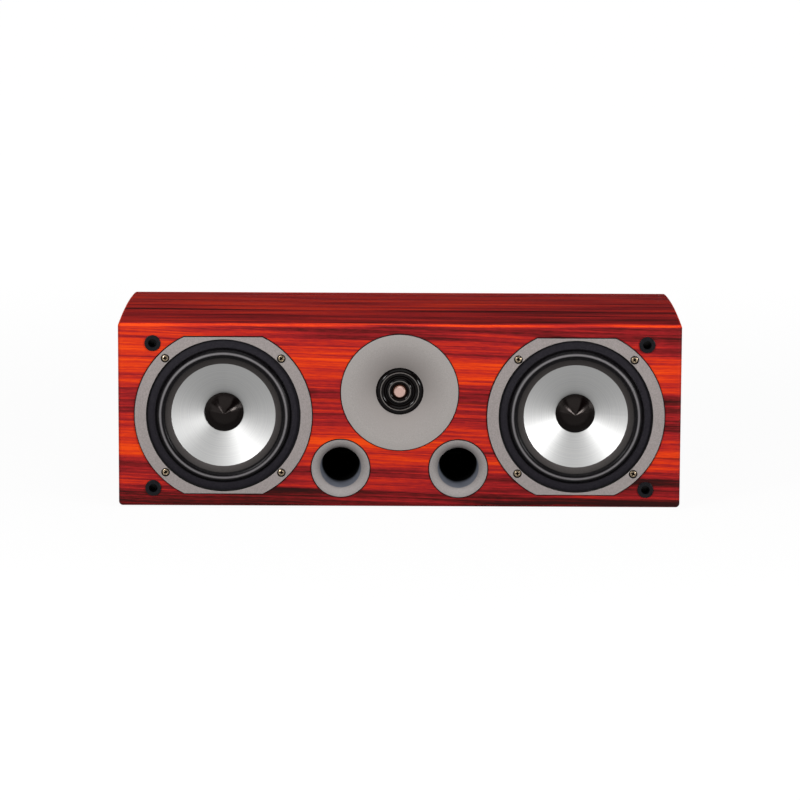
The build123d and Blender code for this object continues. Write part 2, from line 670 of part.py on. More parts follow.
    with BuildPart() as top_plate:
        with BuildSketch(cut):
            bore = COIL_RADIUS + WINDING_THICKNESS + COIL_GAP
            ring(bore, TOP_PLATE_RADIUS, MOTOR_DEPTH, MAGNET_DEPTH)
        revolve(axis=axis)
    save(top_plate, prefix + "top_plate")

    with BuildPart() as magnet:
        with BuildSketch(cut):
            ring(MAGNET_BORE, MAGNET_RADIUS, MAGNET_DEPTH, BACK_PLATE_DEPTH)
        revolve(axis=axis)
    save(magnet, prefix + "magnet")

    with BuildPart() as yoke:
        with BuildSketch(cut):
            ring(POLE_VENT_RADIUS, COIL_RADIUS - FORMER_WALL - COIL_GAP, MOTOR_DEPTH, MOTOR_END)
            ring(POLE_VENT_RADIUS, BACK_PLATE_RADIUS, BACK_PLATE_DEPTH, MOTOR_END)
        revolve(axis=axis)
    save(yoke, prefix + "yoke")

    with BuildPart() as screws:
        with BuildSketch(on_front(x, WOOFER_HEIGHT, -TRIM_PROUD)):
            with woofer_screw_grid:
                Circle(SCREW_HEAD_RADIUS)
        extrude(amount=-SCREW_HEAD_HEIGHT)
        chamfer(screws.faces().group_by(Axis.Y)[0].edges(), length=TRIM_EDGE)
        with BuildSketch(on_front(x, WOOFER_HEIGHT, -TRIM_PROUD)):
            with woofer_screw_grid:
                Circle(SCREW_RADIUS)
        extrude(amount=-SCREW_HEAD_HEIGHT - SCREW_LENGTH)
        with BuildSketch(on_front(x, WOOFER_HEIGHT, -TRIM_PROUD)):
            with woofer_screw_grid:
                Rectangle(SCREW_SLOT_LENGTH, SCREW_SLOT_WIDTH, rotation=45)
                Rectangle(SCREW_SLOT_LENGTH, SCREW_SLOT_WIDTH, rotation=-45)
        extrude(amount=-SCREW_SLOT_DEPTH, mode=Mode.SUBTRACT)
    save(screws, prefix + "screws")


make_woofer("left", -WOOFER_X)
make_woofer("right", WOOFER_X)

tweeter_cut = section(0, TWEETER_HEIGHT)
tweeter_axis = spin(0, TWEETER_HEIGHT)

# The waveguide's face runs level off a narrow lip and steepens as it falls to the throat.
with BuildPart() as waveguide:
    with BuildSketch(tweeter_cut):
        with BuildLine():
            Polyline(
                (PLATE_RADIUS - PLATE_LIP, -PLATE_PROUD),
                (PLATE_RADIUS - PLATE_EDGE, -PLATE_PROUD),
                (PLATE_RADIUS, PLATE_EDGE - PLATE_PROUD),
                (PLATE_RADIUS, PLATE_SEAT),
                (PLATE_BODY_RADIUS, PLATE_SEAT),
                (PLATE_BODY_RADIUS, PLATE_BODY_DEPTH),
                (THROAT_RADIUS, PLATE_BODY_DEPTH),
                (THROAT_RADIUS, THROAT_DEPTH),
            )
            TangentArc(
                (PLATE_RADIUS - PLATE_LIP, -PLATE_PROUD), (THROAT_RADIUS, THROAT_DEPTH), tangent=(-1, 0)
            )
        make_face()
    revolve(axis=tweeter_axis)
    with BuildSketch(on_front(0, TWEETER_HEIGHT, PLATE_SEAT)):
        with tweeter_screw_grid:
            Circle(BOSS_RADIUS)
    extrude(amount=-BOSS_LENGTH)
    with BuildSketch(on_front(0, TWEETER_HEIGHT, BOSS_END)):
        with tweeter_screw_grid:
            Circle(TWEETER_SCREW_RADIUS + PILOT_CLEARANCE)
    extrude(amount=TWEETER_SCREW_BITE + GLUE_LINE, mode=Mode.SUBTRACT)
save(waveguide, "tweeter_waveguide")

# Two concentric rolls, clamped at the rim by the waveguide and in the middle by the plug.
valley_radius = TWEETER_COIL_RADIUS - TWEETER_COIL_WALL / 2
outer_roll = (THROAT_RADIUS - ROLL_LAND, valley_radius + ROLL_LAND)
inner_roll = (valley_radius - ROLL_LAND, PLUG_FOOT_RADIUS + ROLL_LAND)
with BuildPart() as diaphragm:
    with BuildSketch(tweeter_cut):
        with BuildLine():
            for level in (PLATE_BODY_DEPTH, COIL_FRONT):
                Line((DIAPHRAGM_RADIUS, level), (outer_roll[0], level))
                ThreePointArc(
                    (outer_roll[0], level),
                    (sum(outer_roll) / 2, level - OUTER_ROLL_HEIGHT),
                    (outer_roll[1], level),
                )
                Line((outer_roll[1], level), (inner_roll[0], level))
                ThreePointArc(
                    (inner_roll[0], level),
                    (sum(inner_roll) / 2, level - INNER_ROLL_HEIGHT),
                    (inner_roll[1], level),
                )
                Line((inner_roll[1], level), (PLUG_RADIUS, level))
            Line((DIAPHRAGM_RADIUS, PLATE_BODY_DEPTH), (DIAPHRAGM_RADIUS, COIL_FRONT))
            Line((PLUG_RADIUS, PLATE_BODY_DEPTH), (PLUG_RADIUS, COIL_FRONT))
        make_face()
    revolve(axis=tweeter_axis)
save(diaphragm, "tweeter_diaphragm")

with BuildPart() as phase_plug:
    with BuildSketch(tweeter_cut):
        with BuildLine():
            Polyline(
                (0, PLATE_BODY_DEPTH),
                (PLUG_FOOT_RADIUS, PLATE_BODY_DEPTH),
                (PLUG_FOOT_RADIUS, PLATE_BODY_DEPTH - PLUG_FOOT_THICKNESS),
                (PLUG_RADIUS, PLATE_BODY_DEPTH - PLUG_FOOT_THICKNESS),
                (PLUG_RADIUS, PLUG_DEPTH + PLUG_CHAMFER),
                (PLUG_RADIUS - PLUG_CHAMFER, PLUG_DEPTH),
                (0, PLUG_DEPTH),
                close=True,
            )
        make_face()
    revolve(axis=tweeter_axis)
save(phase_plug, "tweeter_phase_plug")

with BuildPart() as tweeter_coil:
    with BuildSketch(tweeter_cut):
        ring(
            TWEETER_COIL_RADIUS - TWEETER_COIL_WALL,
            TWEETER_COIL_RADIUS,
            COIL_FRONT,
            COIL_FRONT + TWEETER_COIL_LENGTH,
        )
    revolve(axis=tweeter_axis)
save(tweeter_coil, "tweeter_voice_coil")

with BuildPart() as tweeter_top_plate:
    with BuildSketch(tweeter_cut):
        ring(TWEETER_COIL_RADIUS + COIL_GAP, TWEETER_MAGNET_RADIUS, COIL_FRONT, TWEETER_MAGNET_DEPTH)
    revolve(axis=tweeter_axis)
save(tweeter_top_plate, "tweeter_top_plate")

with BuildPart() as tweeter_magnet:
    with BuildSketch(tweeter_cut):
        ring(TWEETER_MAGNET_BORE, TWEETER_MAGNET_RADIUS, TWEETER_MAGNET_DEPTH, TWEETER_YOKE_DEPTH)
    revolve(axis=tweeter_axis)
save(tweeter_magnet, "tweeter_magnet")

with BuildPart() as tweeter_yoke:
    with BuildSketch(tweeter_cut):
        pole_radius = TWEETER_COIL_RADIUS - TWEETER_COIL_WALL - COIL_GAP
        ring(0, pole_radius, COIL_FRONT, CHAMBER_DEPTH)
        ring(0, TWEETER_MAGNET_RADIUS, TWEETER_YOKE_DEPTH, CHAMBER_DEPTH)
    revolve(axis=tweeter_axis)
save(tweeter_yoke, "tweeter_yoke")

with BuildPart() as rear_chamber:
    with BuildSketch(tweeter_cut):
        ring(CHAMBER_RADIUS - CHAMBER_WALL, CHAMBER_RADIUS, CHAMBER_DEPTH, CHAMBER_DEPTH + CHAMBER_LENGTH)
        ring(0, CHAMBER_RADIUS, CHAMBER_DEPTH + CHAMBER_LENGTH - CHAMBER_WALL, CHAMBER_DEPTH + CHAMBER_LENGTH)
    revolve(axis=tweeter_axis)
save(rear_chamber, "tweeter_rear_chamber")

# Driven from inside the cabinet, through the baffle, into the bosses behind the waveguide.
with BuildPart() as tweeter_screws:
    with BuildSketch(on_front(0, TWEETER_HEIGHT, BAFFLE_THICKNESS)):
        with tweeter_screw_grid:
            Circle(TWEETER_SCREW_HEAD_RADIUS)
    extrude(amount=-TWEETER_SCREW_HEAD_HEIGHT)
    with BuildSketch(on_front(0, TWEETER_HEIGHT, BAFFLE_THICKNESS)):
        with tweeter_screw_grid:
            Circle(TWEETER_SCREW_RADIUS)
    extrude(amount=BAFFLE_THICKNESS - BOSS_END + TWEETER_SCREW_BITE)
save(tweeter_screws, "tweeter_screws")

# A moulded port: the mouth's flare is an arc that leaves the rim level and ends at the throat, behind which
# the bore narrows a little before it runs straight.
tube_radius = PORT_BORE_RADIUS + PORT_WALL
rim_back = PORT_RIM_THICKNESS - PORT_PROUD
neck_end = rim_back + PORT_NECK_LENGTH
throat_depth = PORT_FLARE_DEPTH - PORT_PROUD
taper_end = throat_depth + PORT_TAPER
flare_start = (PORT_RIM_RADIUS - PORT_EDGE, -PORT_PROUD)
throat = (PORT_THROAT_RADIUS, throat_depth)
for name, x in (("left_port", -PORT_X), ("right_port", PORT_X)):
    with BuildPart() as port:
        with BuildSketch(section(x, PORT_HEIGHT)):
            with BuildLine():
                TangentArc(flare_start, throat, tangent=(-1, 0))
                Polyline(
                    flare_start,
                    (PORT_RIM_RADIUS, PORT_EDGE - PORT_PROUD),
                    (PORT_RIM_RADIUS, rim_back),
                    (PORT_NECK_RADIUS, rim_back),
                    (PORT_NECK_RADIUS, neck_end),
                    (PORT_THROAT_RADIUS + PORT_WALL, neck_end),
                    (tube_radius, taper_end),
                    (tube_radius, PORT_LENGTH),
                    (PORT_BORE_RADIUS, PORT_LENGTH),
                    (PORT_BORE_RADIUS, taper_end),
                    throat,
                )
            make_face()
        revolve(axis=spin(x, PORT_HEIGHT))
    save(port, name)

# The cup is a tray in the rear panel, with its flange on the outside.
with BuildPart() as terminal_cup:
    with BuildSketch(on_rear(0, CUP_HEIGHT)):
        RectangleRounded(
            CUP_WIDTH + 2 * CUP_FLANGE_MARGIN, CUP_BODY_HEIGHT + 2 * CUP_FLANGE_MARGIN, CUP_CORNER
        )
    extrude(amount=CUP_FLANGE_THICKNESS)
    chamfer(terminal_cup.faces().sort_by(Axis.Y)[-1].edges(), length=CUP_EDGE)
    with BuildSketch(on_rear(0, CUP_HEIGHT)):
        RectangleRounded(CUP_WIDTH, CUP_BODY_HEIGHT, CUP_CORNER)
    extrude(amount=-CUP_INSIDE)
    with BuildSketch(on_rear(0, CUP_HEIGHT, -CUP_FLANGE_THICKNESS)):
        RectangleRounded(CUP_RECESS_WIDTH, CUP_RECESS_HEIGHT, CUP_CORNER - CUP_WALL)
    extrude(amount=-(CUP_FLANGE_THICKNESS + CUP_RECESS_DEPTH), mode=Mode.SUBTRACT)
    with BuildSketch(on_rear(0, CUP_HEIGHT)):
        with Locations((-POST_SPACING / 2, 0), (POST_SPACING / 2, 0)):
            Circle(POST_RADIUS + PILOT_CLEARANCE)
    extrude(amount=-CUP_INSIDE, mode=Mode.SUBTRACT)
    with BuildSketch(on_rear(0, CUP_HEIGHT)):
        with cup_screw_grid:
            Circle(CUP_SCREW_RADIUS + SCREW_CLEARANCE)
    extrude(amount=CUP_FLANGE_THICKNESS, mode=Mode.SUBTRACT)
    with BuildSketch(on_rear(0, CUP_HEIGHT, -CUP_FLANGE_THICKNESS)):
        with cup_screw_grid:
            Circle(CUP_SCREW_HEAD_RADIUS + SCREW_CLEARANCE)
    extrude(amount=-CUP_SCREW_HEAD_HEIGHT, mode=Mode.SUBTRACT)
save(terminal_cup, "terminal_cup")

with BuildPart() as cup_screws:
    with BuildSketch(on_rear(0, CUP_HEIGHT, -CUP_FLANGE_THICKNESS)):
        with cup_screw_grid:
            Circle(CUP_SCREW_HEAD_RADIUS)
    extrude(amount=-CUP_SCREW_HEAD_HEIGHT)
    with BuildSketch(on_rear(0, CUP_HEIGHT, -CUP_FLANGE_THICKNESS)):
        with cup_screw_grid:
            Circle(CUP_SCREW_RADIUS)
    extrude(amount=-CUP_SCREW_LENGTH)
    with BuildSketch(on_rear(0, CUP_HEIGHT, -CUP_FLANGE_THICKNESS)):
        with cup_screw_grid:
            Rectangle(SCREW_SLOT_LENGTH, SCREW_SLOT_WIDTH)
            Rectangle(SCREW_SLOT_WIDTH, SCREW_SLOT_LENGTH)
    extrude(amount=-SCREW_SLOT_DEPTH, mode=Mode.SUBTRACT)
save(cup_screws, "terminal_cup_screws")

for polarity, x in (("positive", -POST_SPACING / 2), ("negative", POST_SPACING / 2)):
    with BuildPart() as post:
        with BuildSketch(on_rear(x, CUP_HEIGHT, CUP_INSIDE + POST_TAIL)):
            Circle(POST_RADIUS)
        extrude(amount=CUP_INSIDE + POST_TAIL - KNOB_END)
        with BuildSketch(on_rear(x, CUP_HEIGHT, CUP_RECESS_DEPTH)):
            Circle(POST_COLLAR_RADIUS)
        extrude(amount=POST_COLLAR_THICKNESS)
        with BuildSketch(on_rear(x, CUP_HEIGHT, KNOB_END)):
            Circle(POST_BORE_RADIUS)
        extrude(amount=-POST_BORE_DEPTH, mode=Mode.SUBTRACT)
    save(post, f"{polarity}_post")

    with BuildPart() as knob:
        with BuildSketch(on_rear(x, CUP_HEIGHT, KNOB_BASE)):
            Circle(KNOB_RADIUS)
        extrude(amount=KNOB_LENGTH)
        chamfer(knob.faces().sort_by(Axis.Y)[-1].edges(), length=KNOB_CHAMFER)
        with BuildSketch(on_rear(x, CUP_HEIGHT, KNOB_END)):
            with PolarLocations(KNOB_RADIUS, KNOB_FLUTES):
                Circle(KNOB_FLUTE_RADIUS)
        extrude(amount=-KNOB_FLUTE_LENGTH, mode=Mode.SUBTRACT)
        with BuildSketch(on_rear(x, CUP_HEIGHT, KNOB_BASE)):
            Circle(POST_RADIUS + KNOB_CLEARANCE)
        extrude(amount=KNOB_LENGTH, mode=Mode.SUBTRACT)
    save(knob, f"{polarity}_knob")

with BuildPart() as post_nuts:
    with BuildSketch(on_rear(0, CUP_HEIGHT, CUP_INSIDE)):
        with Locations((-POST_SPACING / 2, 0), (POST_SPACING / 2, 0)):
            RegularPolygon(NUT_ACROSS_FLATS / 2, 6, major_radius=False)
            Circle(POST_RADIUS + PILOT_CLEARANCE, mode=Mode.SUBTRACT)
    extrude(amount=-NUT_THICKNESS)
save(post_nuts, "post_nuts")

BOARD_Y = FRONT_Y + BOARD_DEPTH
BOARD_UNDERSIDE = FLOOR_Z + SPACER_HEIGHT
BOARD_TOP = BOARD_UNDERSIDE + BOARD_THICKNESS

with BuildPart() as crossover_spacers:
    with BuildSketch(Plane((0, BOARD_Y, FLOOR_Z))):
        with GridLocations(BOARD_LENGTH - 2 * SPACER_INSET, BOARD_WIDTH - 2 * SPACER_INSET, 2, 2):
            Circle(SPACER_RADIUS)
    extrude(amount=SPACER_HEIGHT)
save(crossover_spacers, "crossover_spacers")

with BuildPart() as crossover_board:
    with BuildSketch(Plane((0, BOARD_Y, BOARD_UNDERSIDE))):
        Rectangle(BOARD_LENGTH, BOARD_WIDTH)
    extrude(amount=BOARD_THICKNESS)
save(crossover_board, "crossover_board")

with BuildPart() as inductors:
    with BuildSketch(Plane((0, BOARD_Y, BOARD_TOP))):
        with Locations((-INDUCTOR_X, INDUCTOR_Y), (INDUCTOR_X, INDUCTOR_Y)):
            Circle(INDUCTOR_RADIUS)
            Circle(INDUCTOR_BORE, mode=Mode.SUBTRACT)
    extrude(amount=INDUCTOR_HEIGHT)
save(inductors, "crossover_inductors")

with BuildPart() as capacitors:
    for n in range(CAPACITOR_COUNT):
        x = (n - (CAPACITOR_COUNT - 1) / 2) * CAPACITOR_PITCH
        with BuildSketch(Plane.YZ.offset(x - CAPACITOR_LENGTH / 2)):
            with Locations((BOARD_Y + CAPACITOR_Y, BOARD_TOP + CAPACITOR_RADIUS + PILOT_CLEARANCE)):
                Circle(CAPACITOR_RADIUS)
        extrude(amount=CAPACITOR_LENGTH)
save(capacitors, "crossover_capacitors")

with BuildPart() as resistors:
    with BuildSketch(Plane((0, BOARD_Y + INDUCTOR_Y, BOARD_TOP))):
        with GridLocations(1, RESISTOR_PITCH, 1, 2):
            Rectangle(RESISTOR_LENGTH, RESISTOR_WIDTH)
    extrude(amount=RESISTOR_HEIGHT)
save(resistors, "crossover_resistors")

# A pad fills most of the back between each brace and its end panel.
pad_inner = BRACE_X + BRACE_THICKNESS / 2 + PAD_BRACE_GAP
pad_outer = INNER_X - PAD_END_GAP
pad_x = (pad_inner + pad_outer) / 2
with BuildPart() as damping_pads:
    with BuildSketch(Plane((0, INNER_REAR_Y, BASE_Z + PAD_CENTRE), x_dir=(1, 0, 0), z_dir=(0, -1, 0))):
        with Locations((-pad_x, 0), (pad_x, 0)):
            Rectangle(pad_outer - pad_inner, PAD_HEIGHT)
    extrude(amount=PAD_THICKNESS)
    chamfer(damping_pads.faces().group_by(Axis.Y)[0].edges(), length=PAD_EDGE)
save(damping_pads, "damping_pads")
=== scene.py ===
# %% [markdown]
# A center channel speaker, dressed around its CAD frame
#
# The imported CAD model gives every solid of the speaker at its real place and size, in metres. The cabinet's
# panels, the trim rings, the cones and the binding posts are right as solids, so they only need their
# finishes. Four kinds of piece are modelled here: the rubber surrounds, the cloth spiders, the dust caps and
# the screws. The dust caps' straight tips and the screws' cross recesses are too fine for the solids.

# %% The frame
from math import cos, pi, radians, sin, tan

import bmesh
import bpy
import numpy as np
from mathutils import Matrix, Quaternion, Vector


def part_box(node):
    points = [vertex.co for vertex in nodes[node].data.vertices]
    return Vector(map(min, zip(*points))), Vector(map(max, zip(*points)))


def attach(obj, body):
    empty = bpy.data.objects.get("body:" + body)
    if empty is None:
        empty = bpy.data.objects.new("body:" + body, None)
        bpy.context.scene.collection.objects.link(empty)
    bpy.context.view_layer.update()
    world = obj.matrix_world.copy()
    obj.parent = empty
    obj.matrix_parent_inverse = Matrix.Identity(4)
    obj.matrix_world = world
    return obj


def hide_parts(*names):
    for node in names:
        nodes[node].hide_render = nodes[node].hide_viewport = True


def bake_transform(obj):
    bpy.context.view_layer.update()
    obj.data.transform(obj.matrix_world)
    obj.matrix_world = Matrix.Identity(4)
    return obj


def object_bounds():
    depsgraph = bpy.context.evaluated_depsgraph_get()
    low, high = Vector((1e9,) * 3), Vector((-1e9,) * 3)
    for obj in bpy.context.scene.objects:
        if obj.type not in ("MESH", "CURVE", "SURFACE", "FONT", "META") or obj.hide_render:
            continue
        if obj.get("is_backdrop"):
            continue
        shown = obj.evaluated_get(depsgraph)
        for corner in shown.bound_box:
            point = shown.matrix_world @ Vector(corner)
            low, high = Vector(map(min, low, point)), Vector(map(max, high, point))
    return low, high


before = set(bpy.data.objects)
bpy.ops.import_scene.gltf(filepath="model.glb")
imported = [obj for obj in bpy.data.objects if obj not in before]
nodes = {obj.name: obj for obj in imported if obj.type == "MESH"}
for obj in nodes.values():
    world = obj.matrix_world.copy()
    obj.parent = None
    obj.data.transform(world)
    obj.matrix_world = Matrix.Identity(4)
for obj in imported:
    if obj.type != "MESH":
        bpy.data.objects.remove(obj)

cad_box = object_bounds()
MM = 0.001
front_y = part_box("front_baffle")[0].y
base_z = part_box("bottom_panel")[0].z
print("baffle's face at y =", round(front_y, 4), "underside at z =", round(base_z, 4))

# %% [markdown]
# The camera
#
# The photograph was taken with a long lens from a little above, square on to the baffle. The camera's place
# was fitted to the four grille sockets, the woofers and the cabinet's corners: about four metres away, 10.9
# degrees up, turned a quarter of a degree about its own axis. The middle of the baffle lies a few pixels
# below the middle of the frame, so the camera is aimed a little above it instead of shifting the lens.

# %% Camera
FRAME_PIXELS = 800
SENSOR_WIDTH = 36.0
FOCAL_PIXELS = 4620.0
CAMERA_DISTANCE = 4.063
CAMERA_ELEVATION = radians(10.86)
CAMERA_ROLL = radians(0.244)
TARGET_HEIGHT = 82 * MM
TARGET_PIXEL = (399.67, 415.61)

target = Vector((0, front_y, base_z + TARGET_HEIGHT))
camera_up = Vector((0, sin(CAMERA_ELEVATION), cos(CAMERA_ELEVATION)))
camera_back = Vector((0, -cos(CAMERA_ELEVATION), sin(CAMERA_ELEVATION)))
metres_per_pixel = CAMERA_DISTANCE / FOCAL_PIXELS
aim = target + camera_up * (TARGET_PIXEL[1] - FRAME_PIXELS / 2) * metres_per_pixel
aim.x -= (TARGET_PIXEL[0] - FRAME_PIXELS / 2) * metres_per_pixel

camera = bpy.data.objects.new("camera", bpy.data.cameras.new("camera"))
bpy.context.scene.collection.objects.link(camera)
camera.data.sensor_width = SENSOR_WIDTH
camera.data.lens = SENSOR_WIDTH * FOCAL_PIXELS / FRAME_PIXELS
camera.location = target + camera_back * CAMERA_DISTANCE
camera.rotation_mode = "QUATERNION"
looking = (aim - camera.location).to_track_quat("-Z", "Y")
camera.rotation_quaternion = looking @ Quaternion((0, 0, 1), CAMERA_ROLL)
bpy.context.scene.camera = camera
print("camera at", [round(c, 3) for c in camera.location], "lens", round(camera.data.lens, 1))

# %% [markdown]
# Colours and nodes
#
# Colours are picked as sRGB hex values, the way they look on a screen. The shaders count in linear light, so
# one function turns them over. A second small function adds any shader node with its settings and links, and
# a third starts a material and sets what is the same all over its surface.


# %% Helpers for finishes
def linear(colour):
    """A hex colour as linear red, green, blue and alpha, by the sRGB curve."""
    parts = np.array([int(colour[i : i + 2], 16) for i in (1, 3, 5)]) / 255
    curve = np.where(parts <= 0.04045, parts / 12.92, ((parts + 0.055) / 1.055) ** 2.4)
    return (*curve.tolist(), 1.0)


def add(tree, kind, inputs=None, stops=None, **settings):
    """Add one node: its own settings, its inputs as values or other nodes' sockets, and a ramp's stops."""
    node = tree.nodes.new(kind)
    for name, value in settings.items():
        setattr(node, name, value)
    for socket, value in (inputs or {}).items():
        if isinstance(value, bpy.types.NodeSocket):
            tree.links.new(value, node.inputs[socket])
        else:
            node.inputs[socket].default_value = value
    if stops:
        ramp = node.color_ramp.elements
        while len(ramp) < len(stops):
            ramp.new(1.0)
        for stop, (place, colour) in zip(ramp, stops):
            stop.position = place
            stop.color = linear(colour) if isinstance(colour, str) else (colour, colour, colour, 1.0)
    return node


def start_finish(name, sockets):
    """A new material with these constant sockets on its shader. Returns it, its tree and its shader."""
    material = bpy.data.materials.new(name)
    material.use_nodes = True
    shader = material.node_tree.nodes["Principled BSDF"]
    for socket, value in sockets.items():
        shader.inputs[socket].default_value = value
    return material, material.node_tree, shader


def wear(material, *names):
    """Give CAD nodes their finish."""
    for name in names:
        nodes[name].material_slots[0].material = material
    print(material.name, "on", len(names), "solids")


# %% [markdown]
# Floor and room
#
# The photograph's background is plain white. A wide pale floor stands in for it. What the camera and the
# reflections see of it is lifted towards white, less near the speaker than far away, while the light that it
# scatters stays that of a grey floor. So the speaker keeps its soft shadow, and what faces down, such as the
# upper half of the horn, stays as dark as it is in the photograph. The room above is an even, dim grey.

# %% Floor and room
FLOOR_HALF_WIDTH = 40.0
LIFT_NEAR, LIFT_FAR = 0.95, 1.0
LIFT_FROM, LIFT_TO = 0.35, 1.6
ROOM_LEVEL = 0.05

paper, tree, shader = start_finish("pale_paper", {"Roughness": 0.9, "Specular IOR Level": 0.0})
shader.inputs["Base Color"].default_value = linear("#3a3a3a")
shader.inputs["Emission Color"].default_value = linear("#ffffff")
path = add(tree, "ShaderNodeLightPath").outputs
seen = add(tree, "ShaderNodeMath", {0: path["Is Camera Ray"], 1: path["Is Glossy Ray"]}, operation="MAXIMUM")
seen = add(tree, "ShaderNodeMath", {0: seen.outputs[0], 1: path["Is Transmission Ray"]}, operation="MAXIMUM")
spot = add(tree, "ShaderNodeTexCoord").outputs["Object"]
away = add(tree, "ShaderNodeVectorMath", {0: spot}, operation="LENGTH").outputs["Value"]
lift = add(
    tree,
    "ShaderNodeMapRange",
    {0: away, 1: LIFT_FROM, 2: LIFT_TO, 3: LIFT_NEAR, 4: LIFT_FAR},
    interpolation_type="SMOOTHSTEP",
)
glow = add(tree, "ShaderNodeMath", {0: seen.outputs[0], 1: lift.outputs[0]}, operation="MULTIPLY")
tree.links.new(glow.outputs[0], shader.inputs["Emission Strength"])

corners = np.array([(-1, -1), (1, -1), (1, 1), (-1, 1)]) * FLOOR_HALF_WIDTH
floor_mesh = bpy.data.meshes.new("floor")
floor_mesh.from_pydata([(x, y, cad_box[0].z) for x, y in corners], [], [(0, 1, 2, 3)])
floor_mesh.materials.append(paper)
floor = bpy.data.objects.new("floor", floor_mesh)
bpy.context.scene.collection.objects.link(floor)
floor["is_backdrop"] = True

room = bpy.data.worlds.new("room")
room.use_nodes = True
room.node_tree.nodes["Background"].inputs["Color"].default_value = (*[ROOM_LEVEL] * 3, 1.0)
bpy.context.scene.world = room
bpy.context.scene.view_settings.view_transform = "Standard"
print("floor at z =", round(cad_box[0].z, 4), "room level", ROOM_LEVEL)

# %% [markdown]
# Lamps and walls
#
# The hollow cones tell where the light stood. Their turned surface shows each lamp as a bright fan on the
# side away from it: on both cones one fan lies at the lower right, from a lamp at the upper left, and one at
# the left, from a lower lamp at the right. Both lamps are small and near. The rolls of the tweeter join the
# two highlights by a fainter arc over the top, so a wide, weaker softbox hangs in front, above the camera.
# The cabinet's top and the lower half of the horn are light, so more light falls from a pale ceiling. The
# fans fade slowly upwards at the sides, as they do when pale walls stand left and right. A wall behind lights
# the back, and isn't mirrored in the lacquer of the top.

# %% Lamps
# Name: azimuth and elevation in degrees, distance, width and height in metres, power in watts.
LAMPS = {
    "lamp_left": (-34, 20, 1.2, 0.22, 0.22, 7.6),
    "lamp_right": (49, 11, 1.2, 0.22, 0.22, 6.8),
    "softbox_above": (0, 48, 1.6, 1.8, 0.9, 9.0),
    "ceiling": (0, 80, 1.5, 1.4, 0.8, 7.0),
    "wall_left": (-54, 6, 1.8, 1.0, 1.0, 6.0),
    "wall_right": (64, 6, 1.8, 1.0, 1.0, 3.4),
    "wall_behind": (180, 40, 1.8, 1.4, 0.8, 3.0),
}

for name, (azimuth, elevation, distance, width, height, power) in LAMPS.items():
    lamp = bpy.data.lights.new(name, "AREA")
    lamp.shape = "RECTANGLE"
    lamp.size, lamp.size_y = width, height
    lamp.energy = power
    softbox = bpy.data.objects.new(name, lamp)
    level = cos(radians(elevation))
    direction = Vector(
        (sin(radians(azimuth)) * level, -cos(radians(azimuth)) * level, sin(radians(elevation)))
    )
    softbox.location = target + direction * distance
    softbox.rotation_mode = "QUATERNION"
    softbox.rotation_quaternion = (-direction).to_track_quat("-Z", "Y")
    softbox.visible_camera = False
    softbox.visible_glossy = name != "wall_behind"
    bpy.context.scene.collection.objects.link(softbox)
    print(name, "at", [round(c, 2) for c in softbox.location])

# %% [markdown]
# Rosewood veneer
#
# The cabinet wears sliced rosewood under a satin lacquer: orange and crimson belts along its length, fine
# darker grain lines, and a few nearly black streaks. One stretched noise would look like a blurred print,
# because real veneer has several scales at once. So the finish adds them up: belts by height that are
# listed, a slow drift that breaks them up, grain lines a few millimetres wide, fine lines and pores.
# A slow noise bends all of them together. On upright faces the figure runs level round the cabinet; on the
# top and bottom it runs along the length, with belts of its own.

# %% The figure's sizes
BEND_LENGTH, BEND_WIDTH = 260 * MM, 90 * MM
BEND_AMOUNT = 9 * MM
FIGURE_SLOPE = 0.03
# Length along the grain, width across it and share in the darkness: slow drift, grain, fine lines, pores.
FIGURE_LINES = [
    (170 * MM, 16 * MM, 0.9),
    (240 * MM, 4.2 * MM, 1.05),
    (110 * MM, 1.5 * MM, 0.8),
    (9 * MM, 1.0 * MM, 0.4),
]
STREAK_LENGTH, STREAK_WIDTH = 600 * MM, 8 * MM
# A streak begins at the first value of its noise, and is this strong from the second one on.
STREAK_FROM, STREAK_TO, STREAK_STRENGTH = 0.66, 0.74, 0.75
PORE_DEPTH = 0.08 * MM
# How much darker the figure gets by the metre, from left to right.
FIGURE_FADE = 0.18
# Which leaf of the log the veneer is: another number gives another figure of the same kind.
LEAF = 25.9
# Where the edges turn over towards the top, the top's front edge among them, the veneer is painted lighter by
# this much: a painted highlight.
EDGE_HIGHLIGHT = 0.4
# The painted highlight comes and goes between these upward shares of the surface's normal.
HIGHLIGHT_COMES, HIGHLIGHT_GOES = (0.05, 0.35), (0.75, 0.95)
# A face whose normal has more than this share up or down counts as lying, any other as upright.
LYING_SHARE = 0.7

# Height over the underside in millimetres, and how dark the veneer's belt is there, from 0 to 1. The dark
# belts along the bottom edge are partly grain and partly painted shade.
FRONT_BELTS_AND_SHADE = [
    (0, 0.78),
    (5, 0.80),
    (8, 0.98),
    (11, 0.58),
    (17, 0.50),
    (21, 0.62),
    (28, 0.72),
    (32, 0.46),
    (38, 0.26),
    (52, 0.28),
    (66, 0.34),
    (72, 0.48),
    (79, 0.62),
    (90, 0.58),
    (104, 0.54),
    (110, 0.30),
    (130, 0.24),
    (140, 0.36),
    (147, 0.54),
    (154, 0.62),
    (157, 0.74),
    (160, 0.68),
    (162, 0.56),
    (164, 0.52),
]
# The same on the top, by the distance behind the baffle's face. The belts lighten towards the back, partly
# figure and partly a painted sheen of the lacquer.
TOP_BELTS_AND_SHEEN = [(0, 0.58), (40, 0.60), (66, 0.54), (74, 0.80), (84, 0.50), (150, 0.47), (200, 0.52), (250, 0.42)]


# %% Rosewood veneer
def along_grain(tree, place, length, width, settings):
    """A noise that is stretched to this length along the grain and this width across it."""
    spread = add(
        tree,
        "ShaderNodeMapping",
        {"Vector": place, "Location": (0, LEAF, 0), "Scale": (1 / length, 1, 1 / width)},
    ).outputs[0]
    return add(tree, "ShaderNodeTexNoise", {"Vector": spread, "Scale": 1.0, **settings}).outputs[0]


